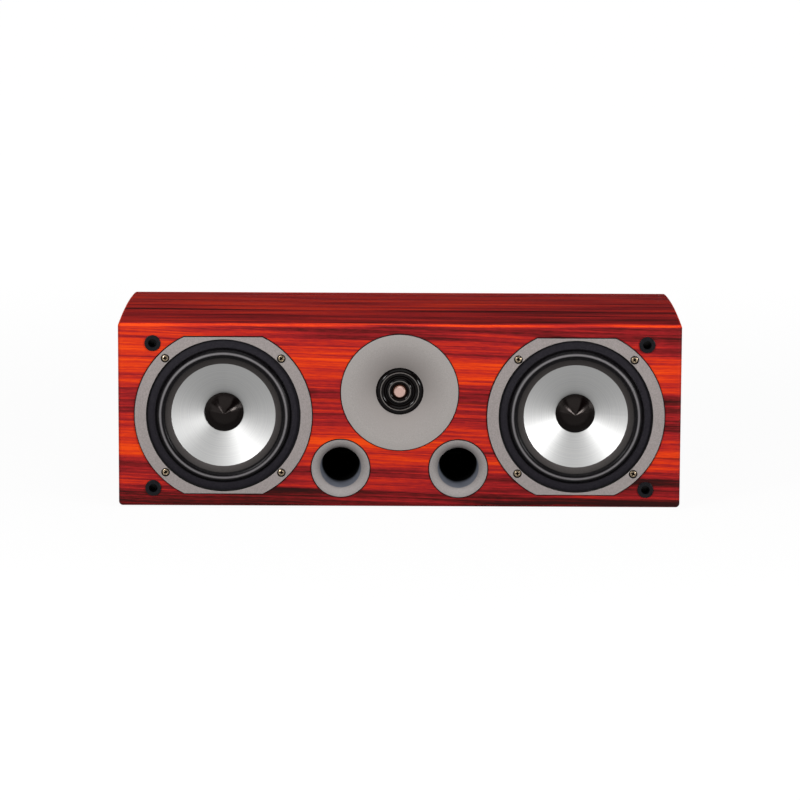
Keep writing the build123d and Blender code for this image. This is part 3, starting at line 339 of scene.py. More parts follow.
def rosewood_veneer():
    """Sliced veneer, satin lacquered. Its darkness is the belts' plus the stretched noises' (each less a
    half) in shares, and a colour ramp turns that from orange through crimson to nearly black."""
    material, tree, shader = start_finish(
        "rosewood_veneer_satin_lacquer", {"Roughness": 0.6, "Specular IOR Level": 0.1}
    )
    where = add(tree, "ShaderNodeTexCoord").outputs
    place = add(tree, "ShaderNodeSeparateXYZ", {0: where["Object"]}).outputs
    facing = add(tree, "ShaderNodeSeparateXYZ", {0: where["Normal"]}).outputs
    steep = add(tree, "ShaderNodeMath", {0: facing["Z"]}, operation="ABSOLUTE").outputs[0]
    lying = add(tree, "ShaderNodeMath", {0: steep, 1: LYING_SHARE}, operation="GREATER_THAN").outputs[0]
    upright = add(tree, "ShaderNodeMath", {0: 1.0, 1: lying}, operation="SUBTRACT").outputs[0]
    along = add(
        tree, "ShaderNodeMath", {0: place["Y"], 1: upright, 2: place["X"]}, operation="MULTIPLY_ADD"
    ).outputs[0]
    across = add(
        tree, "ShaderNodeMix", {0: lying, 2: place["Z"], 3: place["Y"]}, data_type="FLOAT"
    ).outputs[0]
    leaf = add(tree, "ShaderNodeCombineXYZ", {0: along, 1: lying, 2: across}).outputs[0]
    bend = along_grain(tree, leaf, BEND_LENGTH, BEND_WIDTH, {"Detail": 1.0})
    bend = add(tree, "ShaderNodeMath", {0: bend, 1: 0.5}, operation="SUBTRACT").outputs[0]
    sloped = add(
        tree, "ShaderNodeMath", {0: along, 1: FIGURE_SLOPE, 2: across}, operation="MULTIPLY_ADD"
    ).outputs[0]
    height = add(
        tree, "ShaderNodeMath", {0: bend, 1: BEND_AMOUNT, 2: sloped}, operation="MULTIPLY_ADD"
    ).outputs[0]
    figure = add(tree, "ShaderNodeCombineXYZ", {0: along, 1: lying, 2: height}).outputs[0]

    belts = []
    for table, start in ((FRONT_BELTS_AND_SHADE, base_z), (TOP_BELTS_AND_SHEEN, front_y)):
        span = table[-1][0]
        share = add(tree, "ShaderNodeMapRange", {0: height, 1: start, 2: start + span * MM}).outputs[0]
        stops = [(reach / span, dark) for reach, dark in table]
        belts.append(add(tree, "ShaderNodeValToRGB", {0: share}, stops=stops).outputs[0])
    tone = add(tree, "ShaderNodeMix", {0: lying, 2: belts[0], 3: belts[1]}, data_type="FLOAT").outputs[0]
    tone = add(
        tree, "ShaderNodeMath", {0: place["X"], 1: FIGURE_FADE, 2: tone}, operation="MULTIPLY_ADD"
    ).outputs[0]
    for length, width, share in FIGURE_LINES:
        noise = along_grain(tree, figure, length, width, {"Detail": 2.0, "Roughness": 0.55})
        lines = add(tree, "ShaderNodeMath", {0: noise, 1: 0.5}, operation="SUBTRACT").outputs[0]
        tone = add(
            tree, "ShaderNodeMath", {0: lines, 1: share, 2: tone}, operation="MULTIPLY_ADD"
        ).outputs[0]
    # Painted highlight: the veneer is lighter where its edges turn over towards the top.
    comes = add(
        tree, "ShaderNodeMapRange", {0: facing["Z"], 1: HIGHLIGHT_COMES[0], 2: HIGHLIGHT_COMES[1]}
    ).outputs[0]
    goes = add(
        tree, "ShaderNodeMapRange", {0: facing["Z"], 1: HIGHLIGHT_GOES[0], 2: HIGHLIGHT_GOES[1], 3: EDGE_HIGHLIGHT, 4: 0.0}
    ).outputs[0]
    painted_edge_highlight = add(tree, "ShaderNodeMath", {0: comes, 1: goes}, operation="MULTIPLY").outputs[0]
    tone = add(tree, "ShaderNodeMath", {0: tone, 1: painted_edge_highlight}, operation="SUBTRACT").outputs[0]
    colour = add(
        tree,
        "ShaderNodeValToRGB",
        {0: tone},
        stops=[
            (0.02, "#e0440b"),
            (0.22, "#ca3111"),
            (0.38, "#b22519"),
            (0.52, "#911a1d"),
            (0.68, "#711316"),
            (0.84, "#480c0b"),
            (0.98, "#260605"),
        ],
    ).outputs[0]
    streaks = along_grain(tree, figure, STREAK_LENGTH, STREAK_WIDTH, {"Detail": 2.0})
    dark = add(
        tree, "ShaderNodeValToRGB", {0: streaks}, stops=[(STREAK_FROM, 0.0), (STREAK_TO, STREAK_STRENGTH)]
    ).outputs[0]
    stained = add(
        tree, "ShaderNodeMix", {0: dark, 6: colour, 7: linear("#340d09")}, data_type="RGBA"
    ).outputs[2]
    tree.links.new(stained, shader.inputs["Base Color"])
    # The last of the lines are the pores, which alone can be felt.
    relief = add(
        tree, "ShaderNodeBump", {"Height": lines, "Strength": 0.15, "Distance": PORE_DEPTH}
    ).outputs[0]
    tree.links.new(relief, shader.inputs["Normal"])
    return material


wear(
    rosewood_veneer(),
    "front_baffle",
    "top_panel",
    "bottom_panel",
    "left_end_panel",
    "right_end_panel",
    "rear_panel",
)

# %% [markdown]
# Moulded, cast and pressed finishes
#
# Most other pieces are one material with a fine grit: textured paint, rubber, black mouldings, sintered
# magnets. They share one finish whose grit is a noise of a real size: it shifts the colour between two
# close tones, varies the gloss and lifts the surface a little. Grit finer than about a millimetre would not
# show from where the camera stands, so it is drawn that coarse.


# %% Gritty finishes
# Most values of a noise lie between these. Grit changes its colour over a little less than that.
NOISE_LOW, NOISE_HIGH = 0.3, 0.7
GRIT_LOW, GRIT_HIGH = 0.32, 0.68


def gritty(name, low, high, grit, relief, gloss, sockets=None):
    """Colour from low to high, roughness over gloss and bump of this height, by one noise of this grit."""
    material, tree, shader = start_finish(name, sockets or {})
    where = add(tree, "ShaderNodeTexCoord").outputs["Object"]
    noise = add(
        tree, "ShaderNodeTexNoise", {"Vector": where, "Scale": 1 / grit, "Detail": 2.0, "Roughness": 0.6}
    ).outputs[0]
    stops = [(GRIT_LOW, low), (GRIT_HIGH, high)]
    colour = add(tree, "ShaderNodeValToRGB", {0: noise}, stops=stops).outputs[0]
    tree.links.new(colour, shader.inputs["Base Color"])
    rough = add(
        tree, "ShaderNodeMapRange", {0: noise, 1: NOISE_LOW, 2: NOISE_HIGH, 3: gloss[0], 4: gloss[1]}
    ).outputs[0]
    tree.links.new(rough, shader.inputs["Roughness"])
    bump = add(tree, "ShaderNodeBump", {"Height": noise, "Strength": 0.3, "Distance": relief}).outputs[0]
    tree.links.new(bump, shader.inputs["Normal"])
    return material


# Black mouldings: sockets with a satin face, and a terminal cup with a coarser spark-eroded face. A weaker
# mirror image of the white room keeps a black face black.
DARK = {"Specular IOR Level": 0.14}
satin_abs = gritty("black_satin_abs", "#07070a", "#101015", 1.2 * MM, 0.02 * MM, (0.24, 0.34), DARK)
wear(satin_abs, "grille_sockets")
eroded_abs = gritty("black_spark_eroded_abs", "#0d0d0e", "#1c1c1d", 1.0 * MM, 0.12 * MM, (0.45, 0.6))
wear(eroded_abs, "terminal_cup", "tweeter_rear_chamber", "crossover_spacers")
soft_rubber = gritty("black_soft_rubber", "#0c0c0c", "#191918", 1.0 * MM, 0.05 * MM, (0.7, 0.85))
wear(soft_rubber, "rubber_feet")

# Binding posts: gilt brass is smooth and warm, the thumb knobs are glossy dyed plastic.
METAL = {"Metallic": 1.0}
gilt = gritty("gilt_brass", "#d8ac55", "#e6c172", 2.0 * MM, 0.01 * MM, (0.16, 0.24), METAL)
wear(gilt, "positive_post", "negative_post")
red_dye = gritty("red_gloss_plastic", "#98100f", "#ac1613", 2.0 * MM, 0.01 * MM, (0.18, 0.26))
wear(red_dye, "positive_knob")
black_dye = gritty("black_gloss_plastic", "#0a0a0a", "#131313", 2.0 * MM, 0.01 * MM, (0.18, 0.26))
wear(black_dye, "negative_knob")

# %% [markdown]
# Inside the cabinet
#
# Nothing of this shows while the cabinet is closed, but a part that is taken apart later should look right
# inside too: raw fibreboard, coated castings, foam, plated steel, ferrite, copper wire, a green board and
# white wadding. The grit of each is that of the real stuff, from smooth film to fluffy wadding.

# %% Hidden finishes
raw_board = gritty("raw_fibreboard", "#8d6f4a", "#a58860", 1.5 * MM, 0.05 * MM, (0.8, 0.9))
wear(raw_board, "left_brace", "right_brace")
casting = gritty("powder_coated_casting", "#0c0c0d", "#171719", 1.5 * MM, 0.06 * MM, (0.5, 0.65), DARK)
wear(casting, "woofer_left_basket", "woofer_right_basket")
foam = gritty("black_cell_foam", "#0f0f0f", "#222222", 1.2 * MM, 0.2 * MM, (0.85, 0.95))
wear(foam, "woofer_left_gasket", "woofer_right_gasket")
zinc = gritty("zinc_plated_steel", "#a3a5a8", "#bbbdc0", 2.0 * MM, 0.02 * MM, (0.28, 0.4), METAL)
wear(zinc, "woofer_left_top_plate", "woofer_right_top_plate", "woofer_left_yoke", "woofer_right_yoke")
wear(zinc, "tweeter_top_plate", "tweeter_yoke", "tweeter_screws", "post_nuts")
sintered = gritty("sintered_ferrite", "#1d1d1f", "#2b2b2d", 1.2 * MM, 0.08 * MM, (0.55, 0.7))
wear(sintered, "woofer_left_magnet", "woofer_right_magnet", "tweeter_magnet")
wire = gritty("enamelled_copper_wire", "#a2512c", "#bb6a3f", 1.0 * MM, 0.1 * MM, (0.3, 0.4), METAL)
wear(wire, "woofer_left_voice_coil", "woofer_right_voice_coil", "tweeter_voice_coil", "crossover_inductors")
laminate = gritty("green_board_laminate", "#1c3d22", "#28502e", 1.0 * MM, 0.02 * MM, (0.4, 0.5))
wear(laminate, "crossover_board")
film = gritty("yellow_polyester_film", "#b89a26", "#ccae38", 3.0 * MM, 0.01 * MM, (0.25, 0.35))
wear(film, "crossover_capacitors")
cement = gritty("white_cement", "#c9c6bd", "#dcd9d1", 1.0 * MM, 0.08 * MM, (0.75, 0.85))
wear(cement, "crossover_resistors")
wadding = gritty("polyester_wadding", "#d9d7d2", "#f0efec", 4.0 * MM, 1.5 * MM, (0.9, 1.0))
wear(wadding, "damping_pads")

# %% [markdown]
# Grey paint and painted shade
#
# The trim rings, the waveguide and the port mouths are sprayed grey. Their edges, the counterbores round the
# screws and the inside of the ports are painted black, as painted shade: it gives each piece a thin dark
# outline where a shadow gap falls, and darkens the ports inside. The finish mixes paint and black by a mask:
# how far a point lies behind the baffle's face, or how far from the piece's axis.

# %% Paint and painted shade
PAINT_GRIT = 0.9 * MM
DULL = {"Specular IOR Level": 0.15}
# Painted shade: black where shadow gaps fall round the pieces and deep inside the ports.
SHADE_BLACK = "#060606"


def middle_of(node):
    """The middle of a node's box."""
    low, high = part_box(node)
    return (low + high) / 2


def radius_about(tree, axis):
    """Distance of each point from a front-to-back axis, or from its mirror image on the other side."""
    where = add(tree, "ShaderNodeTexCoord").outputs["Object"]
    folded = add(tree, "ShaderNodeVectorMath", {0: where}, operation="ABSOLUTE").outputs[0]
    offset = add(
        tree, "ShaderNodeVectorMath", {0: folded, 1: (abs(axis.x), 0, axis.z)}, operation="SUBTRACT"
    ).outputs[0]
    flat = add(tree, "ShaderNodeVectorMath", {0: offset, 1: (1, 0, 1)}, operation="MULTIPLY").outputs[0]
    return add(tree, "ShaderNodeVectorMath", {0: flat}, operation="LENGTH").outputs["Value"]


def depth_behind_face(tree):
    """How far each point lies behind the baffle's face."""
    where = add(tree, "ShaderNodeTexCoord").outputs["Object"]
    y = add(tree, "ShaderNodeSeparateXYZ", {0: where}).outputs["Y"]
    return add(tree, "ShaderNodeMath", {0: y, 1: front_y}, operation="SUBTRACT").outputs[0]


def sprayed(name, low, high, relief, masks):
    """Gritty grey paint, with another colour where a mask passes from its start to its end. Masks are
    (measure, start, end, colour), where the measure is a function that gives a length on the surface."""
    material, tree, shader = start_finish(name, {"Roughness": 0.55, **DULL})
    where = add(tree, "ShaderNodeTexCoord").outputs["Object"]
    noise = add(
        tree,
        "ShaderNodeTexNoise",
        {"Vector": where, "Scale": 1 / PAINT_GRIT, "Detail": 2.0, "Roughness": 0.6},
    ).outputs[0]
    stops = [(GRIT_LOW, low), (GRIT_HIGH, high)]
    colour = add(tree, "ShaderNodeValToRGB", {0: noise}, stops=stops).outputs[0]
    for measure, start, end, mask_colour in masks:
        mask_share = add(tree, "ShaderNodeMapRange", {0: measure(tree), 1: start, 2: end}).outputs[0]
        colour = add(
            tree, "ShaderNodeMix", {0: mask_share, 6: colour, 7: linear(mask_colour)}, data_type="RGBA"
        ).outputs[2]
    tree.links.new(colour, shader.inputs["Base Color"])
    bump = add(tree, "ShaderNodeBump", {"Height": noise, "Strength": 0.3, "Distance": relief}).outputs[0]
    tree.links.new(bump, shader.inputs["Normal"])
    return material


# %% Trim rings, waveguide and ports
# Paint ends over this width. On the trim rings it reaches a little way down the edge of the face.
PAINT_EDGE = 0.08 * MM
TRIM_REACH = 0.1 * MM

trim_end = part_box("woofer_left_trim_ring")[0].y - front_y + TRIM_REACH
# Painted shade: behind its face the trim ring is black, for the shadow gap round it.
trim_masks = [(depth_behind_face, trim_end, trim_end + PAINT_EDGE, SHADE_BLACK)]
trim_paint = sprayed("grey_textured_paint", "#857e7c", "#978f8d", 0.05 * MM, trim_masks)
wear(trim_paint, "woofer_left_trim_ring", "woofer_right_trim_ring")

HORN_EDGE = 0.5 * MM
# Painted shade: the paint darkens from the first radius inwards to the second, towards the throat.
THROAT_SHADE_START, THROAT_SHADE_FULL = 44 * MM, 20 * MM
tweeter_axis = middle_of("tweeter_waveguide")
horn_radius = (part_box("tweeter_waveguide")[1].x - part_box("tweeter_waveguide")[0].x) / 2 - HORN_EDGE
horn_masks = [
    (lambda tree: radius_about(tree, tweeter_axis), THROAT_SHADE_START, THROAT_SHADE_FULL, "#88827f"),
    (lambda tree: radius_about(tree, tweeter_axis), horn_radius, horn_radius + PAINT_EDGE, SHADE_BLACK),
]
horn_paint = sprayed("pale_grey_smooth_paint", "#928d8a", "#9c9794", 0.02 * MM, horn_masks)
wear(horn_paint, "tweeter_waveguide")

PORT_EDGE = 0.6 * MM
# Behind the flare the paint turns to a darker bluish grey, painted shade on the tube's wall, and deep in the
# tube it turns black, painted shade for the unlit tube.
FLARE_DEPTH, FLARE_FADE = 4.4 * MM, 1 * MM
TUBE_DEPTH, TUBE_FADE = 20 * MM, 9 * MM
port_axis = middle_of("right_port")
port_radius = (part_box("right_port")[1].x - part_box("right_port")[0].x) / 2 - PORT_EDGE
port_masks = [
    (lambda tree: radius_about(tree, port_axis), port_radius, port_radius + PAINT_EDGE, SHADE_BLACK),
    # Painted shade: a darker bluish grey on the tube wall, then black deep in the tube.
    (depth_behind_face, FLARE_DEPTH, FLARE_DEPTH + FLARE_FADE, "#6a6e78"),
    (depth_behind_face, TUBE_DEPTH, TUBE_DEPTH + TUBE_FADE, SHADE_BLACK),
]
port_paint = sprayed("grey_paint_in_port_mouth", "#868180", "#938e8c", 0.03 * MM, port_masks)
wear(port_paint, "left_port", "right_port")

# %% [markdown]
# Spun aluminium cones
#
# The cones are spun from aluminium sheet, so their surface is made of tiny rings round the axis. Such rings
# smear a highlight sideways into fans that run out from the middle. The shader's anisotropy does that, with
# its tangent laid round the axis, and a ring noise by radius draws the coarser turning marks. Real marks are
# finer than a tenth of a millimetre and wouldn't show, so they are drawn nearly a millimetre apart.

# %% Cones
RING_PITCH = 0.9 * MM


def ringed(name, axis, low, high, gloss, sockets):
    """A finish with turning marks: colour from low to high and roughness over gloss, by a noise of the
    distance from the axis. The tangent lies round the axis."""
    material, tree, shader = start_finish(name, sockets)
    rings = add(
        tree,
        "ShaderNodeTexNoise",
        {"W": radius_about(tree, axis), "Scale": 1 / RING_PITCH, "Detail": 2.0},
        noise_dimensions="1D",
    ).outputs[0]
    stops = [(NOISE_LOW, low), (NOISE_HIGH, high)]
    colour = add(tree, "ShaderNodeValToRGB", {0: rings}, stops=stops).outputs[0]
    tree.links.new(colour, shader.inputs["Base Color"])
    rough = add(
        tree, "ShaderNodeMapRange", {0: rings, 1: NOISE_LOW, 2: NOISE_HIGH, 3: gloss[0], 4: gloss[1]}
    ).outputs[0]
    tree.links.new(rough, shader.inputs["Roughness"])
    tangent = add(tree, "ShaderNodeTangent", direction_type="RADIAL", axis="Y").outputs[0]
    tree.links.new(tangent, shader.inputs["Tangent"])
    return material


woofer_axis = middle_of("woofer_right_cone")
spun = {"Metallic": 1.0, "Anisotropic": 0.4}
aluminium = ringed("spun_aluminium_anodised", woofer_axis, "#979797", "#a0a09f", (0.40, 0.48), spun)
wear(aluminium, "woofer_left_cone", "woofer_right_cone")

# %% [markdown]
# Tweeter diaphragm and plug
#
# The ring diaphragm is woven silk, doped with black varnish: nearly black, with a wet gloss. A pale ring is
# painted along the crest of each of its two rolls: a painted highlight. The plug in the middle is turned
# copper with a pinkish bloom. Its chamfer is painted lighter, a painted highlight, and its foot, which clamps
# the diaphragm, is painted dark brown, as painted shade.

# %% Tweeter
ROLL_CRESTS = (9.3 * MM, 16.7 * MM)
CREST_HIGHLIGHT_WIDTH = 0.6 * MM
SILK_RADIUS = 21 * MM


def doped_silk(axis):
    """Black varnish, with a painted highlight: a pale grey ring along the crest of each roll."""
    material, tree, shader = start_finish("doped_silk", {"Roughness": 0.12, "Specular IOR Level": 0.1})
    radius = radius_about(tree, axis)
    share = add(tree, "ShaderNodeMapRange", {0: radius, 1: 0.0, 2: SILK_RADIUS}).outputs[0]
    stops = [(0.0, "#040202")]
    # Painted highlight: a pale grey ring on each roll's crest.
    for crest in ROLL_CRESTS:
        for reach, colour in ((-CREST_HIGHLIGHT_WIDTH, "#060404"), (0, "#6c6764"), (CREST_HIGHLIGHT_WIDTH, "#060404")):
            stops.append(((crest + reach) / SILK_RADIUS, colour))
    colour = add(tree, "ShaderNodeValToRGB", {0: share}, stops=stops).outputs[0]
    tree.links.new(colour, shader.inputs["Base Color"])
    return material


wear(doped_silk(middle_of("tweeter_diaphragm")), "tweeter_diaphragm")

PLUG_RADIUS = 4.8 * MM
PLUG_CHAMFER = 0.5 * MM
PLUG_MARKS = 0.5 * MM
# The painted shade on the foot begins this far outside the plug, and each colour gives way to the next over a
# thin line.
FOOT_GAP, PLUG_LINE = 0.05 * MM, 0.1 * MM


def turned_copper(axis):
    """Facing marks by radius, a painted highlight on the chamfer, and painted shade in dark brown outside the
    plug's own radius.
    """
    material, tree, shader = start_finish("turned_copper", {"Metallic": 1.0, "Roughness": 0.4})
    radius = radius_about(tree, axis)
    marks = add(
        tree, "ShaderNodeTexNoise", {"W": radius, "Scale": 1 / PLUG_MARKS}, noise_dimensions="1D"
    ).outputs[0]
    stops = [(NOISE_LOW, "#bf9d93"), (NOISE_HIGH, "#cfaea4")]
    colour = add(tree, "ShaderNodeValToRGB", {0: marks}, stops=stops).outputs[0]
    # Painted highlight on the chamfer, painted shade on the foot.
    chamfer = PLUG_RADIUS - PLUG_CHAMFER - PLUG_LINE
    foot = PLUG_RADIUS + FOOT_GAP
    for start, outside in ((chamfer, "#e3c6bb"), (foot, "#3a2014")):
        past = add(tree, "ShaderNodeMapRange", {0: radius, 1: start, 2: start + PLUG_LINE}).outputs[0]
        colour = add(
            tree, "ShaderNodeMix", {0: past, 6: colour, 7: linear(outside)}, data_type="RGBA"
        ).outputs[2]
    tree.links.new(colour, shader.inputs["Base Color"])
    return material


wear(turned_copper(middle_of("tweeter_phase_plug")), "tweeter_phase_plug")

# %% [markdown]
# Turned pieces
#
# Each cone carries a dust cap and hangs between two flexible rings, a rubber surround in front and a cloth
# spider behind, and each screw is a turned head on a shank. All are one section carried round an axis, so one
# function spins the section and another makes the mesh. The rings are made here and not kept as solids.

# %% From a section to a mesh
# Points closer than this, in metres, are one point.
WELD = 1e-7


def turned(radius, depth, turns):
    """Carry a section round a front-to-back axis: a point at angle a is at radius times the cosine of a,
    depth, and radius times the sine of a."""
    angle = np.linspace(0, 2 * pi, turns, endpoint=False)[:, None]
    return np.stack([radius * np.cos(angle), depth + 0 * angle, radius * np.sin(angle)], axis=-1)


def mesh_piece(name, grids, material, ring_section):
    """One piece from grids of points (copies x turns x section points). Every grid closes round its axis;
    a ring's section closes on itself too, and otherwise its ends meet the axis."""
    copies, turns, count = grids.shape[:3]
    last = count if ring_section else count - 1
    copy, turn, step = np.meshgrid(np.arange(copies), np.arange(turns), np.arange(last), indexing="ij")
    here = (copy * turns + turn) * count
    beside = (copy * turns + (turn + 1) % turns) * count
    after = (step + 1) % count
    quads = np.stack([here + step, beside + step, beside + after, here + after], axis=-1)
    mesh = bpy.data.meshes.new(name)
    mesh.from_pydata(grids.reshape(-1, 3).tolist(), [], quads.reshape(-1, 4).tolist())
    mesh.polygons.foreach_set("use_smooth", np.ones(len(mesh.polygons), bool))
    shape = bmesh.new()
    shape.from_mesh(mesh)
    bmesh.ops.remove_doubles(shape, verts=shape.verts, dist=WELD)
    bmesh.ops.recalc_face_normals(shape, faces=shape.faces)
    shape.to_mesh(mesh)
    shape.free()
    mesh.materials.append(material)
    piece = bpy.data.objects.new(name, mesh)
    bpy.context.scene.collection.objects.link(piece)
    print(name, len(mesh.polygons), "faces")
    return piece


def hang_between(piece):
    """Bake a ring's placement into its mesh and read its points."""
    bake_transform(piece)
    points = np.empty(len(piece.data.vertices) * 3)
    piece.data.vertices.foreach_get("co", points)


# %% [markdown]
# Dust caps
#
# A dust cap closes each voice coil: pressed, and lacquered brown-black. It ends in a sharp point, and round
# the point it is a straight cone. So a lamp's highlight runs out from the point as a fan, while further out,
# where the flank bends down to the cone, it fades. The solids have the same cap with a rounder flank.

# %% Dust caps
TIP_SLOPE = tan(radians(25))
TIP_RADIUS = 6.0 * MM
CAP_WALL = 1.0 * MM
CAP_TURNS, CAP_POINTS = 192, 60


def cap_section(radius, height):
    """Depth grows evenly from the point, and past the tip's radius by a square as well. The back is the same
    line, smaller by the wall, from the rim to the axis."""
    out = np.linspace(0, radius, CAP_POINTS)
    bend = (height - radius * TIP_SLOPE) / (radius - TIP_RADIUS) ** 2
    depth = TIP_SLOPE * out + bend * np.clip(out - TIP_RADIUS, 0, None) ** 2
    back_out = out[::-1] * (1 - CAP_WALL / radius)
    back_depth = CAP_WALL + depth[::-1] * (1 - CAP_WALL / height)
    return np.concatenate([out, back_out]), np.concatenate([depth, back_depth])


# Brown-black lacquer over turning marks, which stretch its highlights away from the point.
glossed = {
    **DARK,
    "Specular Tint": linear("#fff0ea"),
    "Anisotropic": 0.75,
    "Anisotropic Rotation": 0.25,
}
lacquer = ringed("brown_black_lacquer", woofer_axis, "#030101", "#080404", (0.15, 0.21), glossed)
for side in ("left", "right"):
    node = f"woofer_{side}_dust_cap"
    low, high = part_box(node)
    axis = middle_of(node)
    section = cap_section((high.x - low.x) / 2, high.y - low.y)
    grid = turned(*section, CAP_TURNS) + (axis.x, low.y, axis.z)
    cap = mesh_piece(f"dust_cap_{side}", grid[None], lacquer, False)
    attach(cap, f"woofer_{side}_piston")
    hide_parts(node)

# %% [markdown]
# Rubber surrounds
#
# A surround is moulded rubber. Seen in section its front runs level along the outer flange, over a small
# bead, up and over the half roll on one arc, over a second bead, and down along the cone on the inner
# flange. The back is the same line, moved back by the rubber's thickness. The flange is dusty and dull, and
# the roll is black and shiny. A paler line painted along the roll's crest is a painted highlight, and the
# inner flange's grey is partly a painted sheen on satin rubber.

# %% Surrounds
RUBBER = 0.8 * MM
ROLL_OUTER, ROLL_INNER = 60.0 * MM, 51.0 * MM
LIP_INNER = 45.8 * MM
LIP_DEPTH = 1.2 * MM
LIP_SLOPE = tan(radians(26))
BEAD_WIDTH, BEAD_HEIGHT = 0.9 * MM, 0.3 * MM
EDGE = 0.25 * MM
RING_TURNS, ROLL_POINTS = 288, 40
DUST_GRIT = 1.5 * MM


def arc(start, crest, end, count):
    """Points on the circle through three (radius, depth) points, evenly spaced by angle."""
    (ax, ay), (bx, by), (cx, cy) = start, crest, end
    twice = 2 * (ax * (by - cy) + bx * (cy - ay) + cx * (ay - by))
    a, b, c = ax * ax + ay * ay, bx * bx + by * by, cx * cx + cy * cy
    middle = (
        (a * (by - cy) + b * (cy - ay) + c * (ay - by)) / twice,
        (a * (cx - bx) + b * (ax - cx) + c * (bx - ax)) / twice,
    )
    size = np.hypot(ax - middle[0], ay - middle[1])
    first, last = (np.arctan2(y - middle[1], x - middle[0]) for x, y in (start, end))
    swing = np.linspace(first, last, count)
    return np.stack([middle[0] + size * np.cos(swing), middle[1] + size * np.sin(swing)], axis=-1)


def bead(radius, depth, slope, count=9):
    """A half sine of the bead's height on a line through this point with this slope."""
    across = np.linspace(0.5, -0.5, count)
    rise = BEAD_HEIGHT * np.cos(pi * across)
    return np.stack([radius + BEAD_WIDTH * across, depth - BEAD_WIDTH * across * slope - rise], axis=-1)


def surround_section(outer, flange_depth, crest_depth):
    """Front line from the outer edge to the inner one, then the back line home again."""
    lip_top = LIP_DEPTH - (ROLL_INNER - LIP_INNER) * LIP_SLOPE
    roll_start = (ROLL_OUTER - BEAD_WIDTH / 2, flange_depth)
    roll_end = (ROLL_INNER + BEAD_WIDTH / 2, lip_top - BEAD_WIDTH / 2 * LIP_SLOPE)
    crest = ((ROLL_OUTER + ROLL_INNER) / 2, crest_depth)
    front = np.concatenate(
        [
            [(outer, flange_depth + EDGE), (outer - EDGE, flange_depth)],
            [(ROLL_OUTER + BEAD_WIDTH, flange_depth)],
            bead(ROLL_OUTER, flange_depth, 0.0),
            arc(roll_start, crest, roll_end, ROLL_POINTS)[1:-1],
            bead(ROLL_INNER, lip_top, LIP_SLOPE),
            [(LIP_INNER + EDGE, LIP_DEPTH - EDGE * LIP_SLOPE), (LIP_INNER, LIP_DEPTH + EDGE)],
        ]
    )
    return np.concatenate([front, front[::-1] + (0, RUBBER - EDGE)])


def moulded_rubber(axis):
    """Dull grey flange, black roll with a painted highlight along its crest, and a grey lip whose lightness
    is partly painted sheen, by the distance from the axis.
    """
    material, tree, shader = start_finish("moulded_butyl_rubber", {"Specular IOR Level": 0.07})
    radius = radius_about(tree, axis)
    low, high = LIP_INNER, ROLL_OUTER + 4 * BEAD_WIDTH
    share = add(tree, "ShaderNodeMapRange", {0: radius, 1: low, 2: high}).outputs[0]
    lip = (ROLL_INNER - low) / (high - low)
    flange = (ROLL_OUTER - low) / (high - low)
    crest = (lip + flange) / 2
    # Painted highlight: a pale line on the roll's crest. Painted sheen: part of the lip's grey.
    tint = add(
        tree,
        "ShaderNodeValToRGB",
        {0: share},
        stops=[
            (0.0, "#454140"),
            (lip - 0.03, "#353231"),
            (lip + 0.03, "#030203"),
            (crest - 0.08, "#050405"),
            (crest, "#787577"),
            (crest + 0.08, "#050405"),
            (flange, "#040304"),
            (flange + 0.05, "#1f1d22"),
        ],
    ).outputs[0]
    where = add(tree, "ShaderNodeTexCoord").outputs["Object"]
    dust = add(
        tree, "ShaderNodeTexNoise", {"Vector": where, "Scale": 1 / DUST_GRIT, "Detail": 3.0}
    ).outputs[0]
    dust = add(tree, "ShaderNodeMapRange", {0: dust, 1: 0.4, 2: 0.8, 3: 0.0, 4: 0.03}).outputs[0]
    tint = add(tree, "ShaderNodeMix", {0: dust, 6: tint, 7: linear("#8d8890")}, data_type="RGBA").outputs[2]
    tree.links.new(tint, shader.inputs["Base Color"])
    rough = add(
        tree,
        "ShaderNodeValToRGB",
        {0: share},
        stops=[(lip, 0.45), (lip + 0.04, 0.3), (flange, 0.3), (flange + 0.05, 0.62)],
    ).outputs[0]
    tree.links.new(rough, shader.inputs["Roughness"])
    return material


rubber = moulded_rubber(woofer_axis)
for side in ("left", "right"):
    node = f"woofer_{side}_surround"
    low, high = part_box(node)
    axis = middle_of(node)
    outer = (high.x - low.x) / 2
    section = surround_section(outer, high.y - front_y - RUBBER, low.y - front_y)
    rings = turned(section[:, 0], section[:, 1], RING_TURNS) + (axis.x, front_y, axis.z)
    surround = mesh_piece(f"rubber_surround_{side}", rings[None], rubber, True)
    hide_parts(node)
    hang_between(surround)

# %% [markdown]
# Cloth spiders
#
# Behind each cone a spider centres the voice coil: a disc of cotton, dipped in resin and pressed into
# concentric pleats, with a flat rim glued to the basket. Its section is a sine wave of a few pleats.

# %% Spiders
CLOTH = 0.6 * MM
PLEATS_OUTER, PLEATS_INNER = 36.0 * MM, 13.2 * MM
HALF_WAVES, WAVE_POINTS = 7, 8
THREAD = 0.9 * MM
# A wave texture of scale 1 repeats after a tenth of pi.
THREAD_SCALE = pi / (10 * THREAD)


def spider_section(outer, depth, wave):
    """Flat rim, then depth minus wave times the sine of the half waves passed; the back lies behind it."""
    passed = np.linspace(0, HALF_WAVES, WAVE_POINTS * HALF_WAVES + 1)
    radius = PLEATS_OUTER + (PLEATS_INNER - PLEATS_OUTER) * passed / HALF_WAVES
    pleats = np.stack([radius, depth - wave * np.sin(pi * passed)], axis=-1)
    front = np.concatenate([[(outer, depth)], pleats])
    return np.concatenate([front, front[::-1] + (0, CLOTH)])


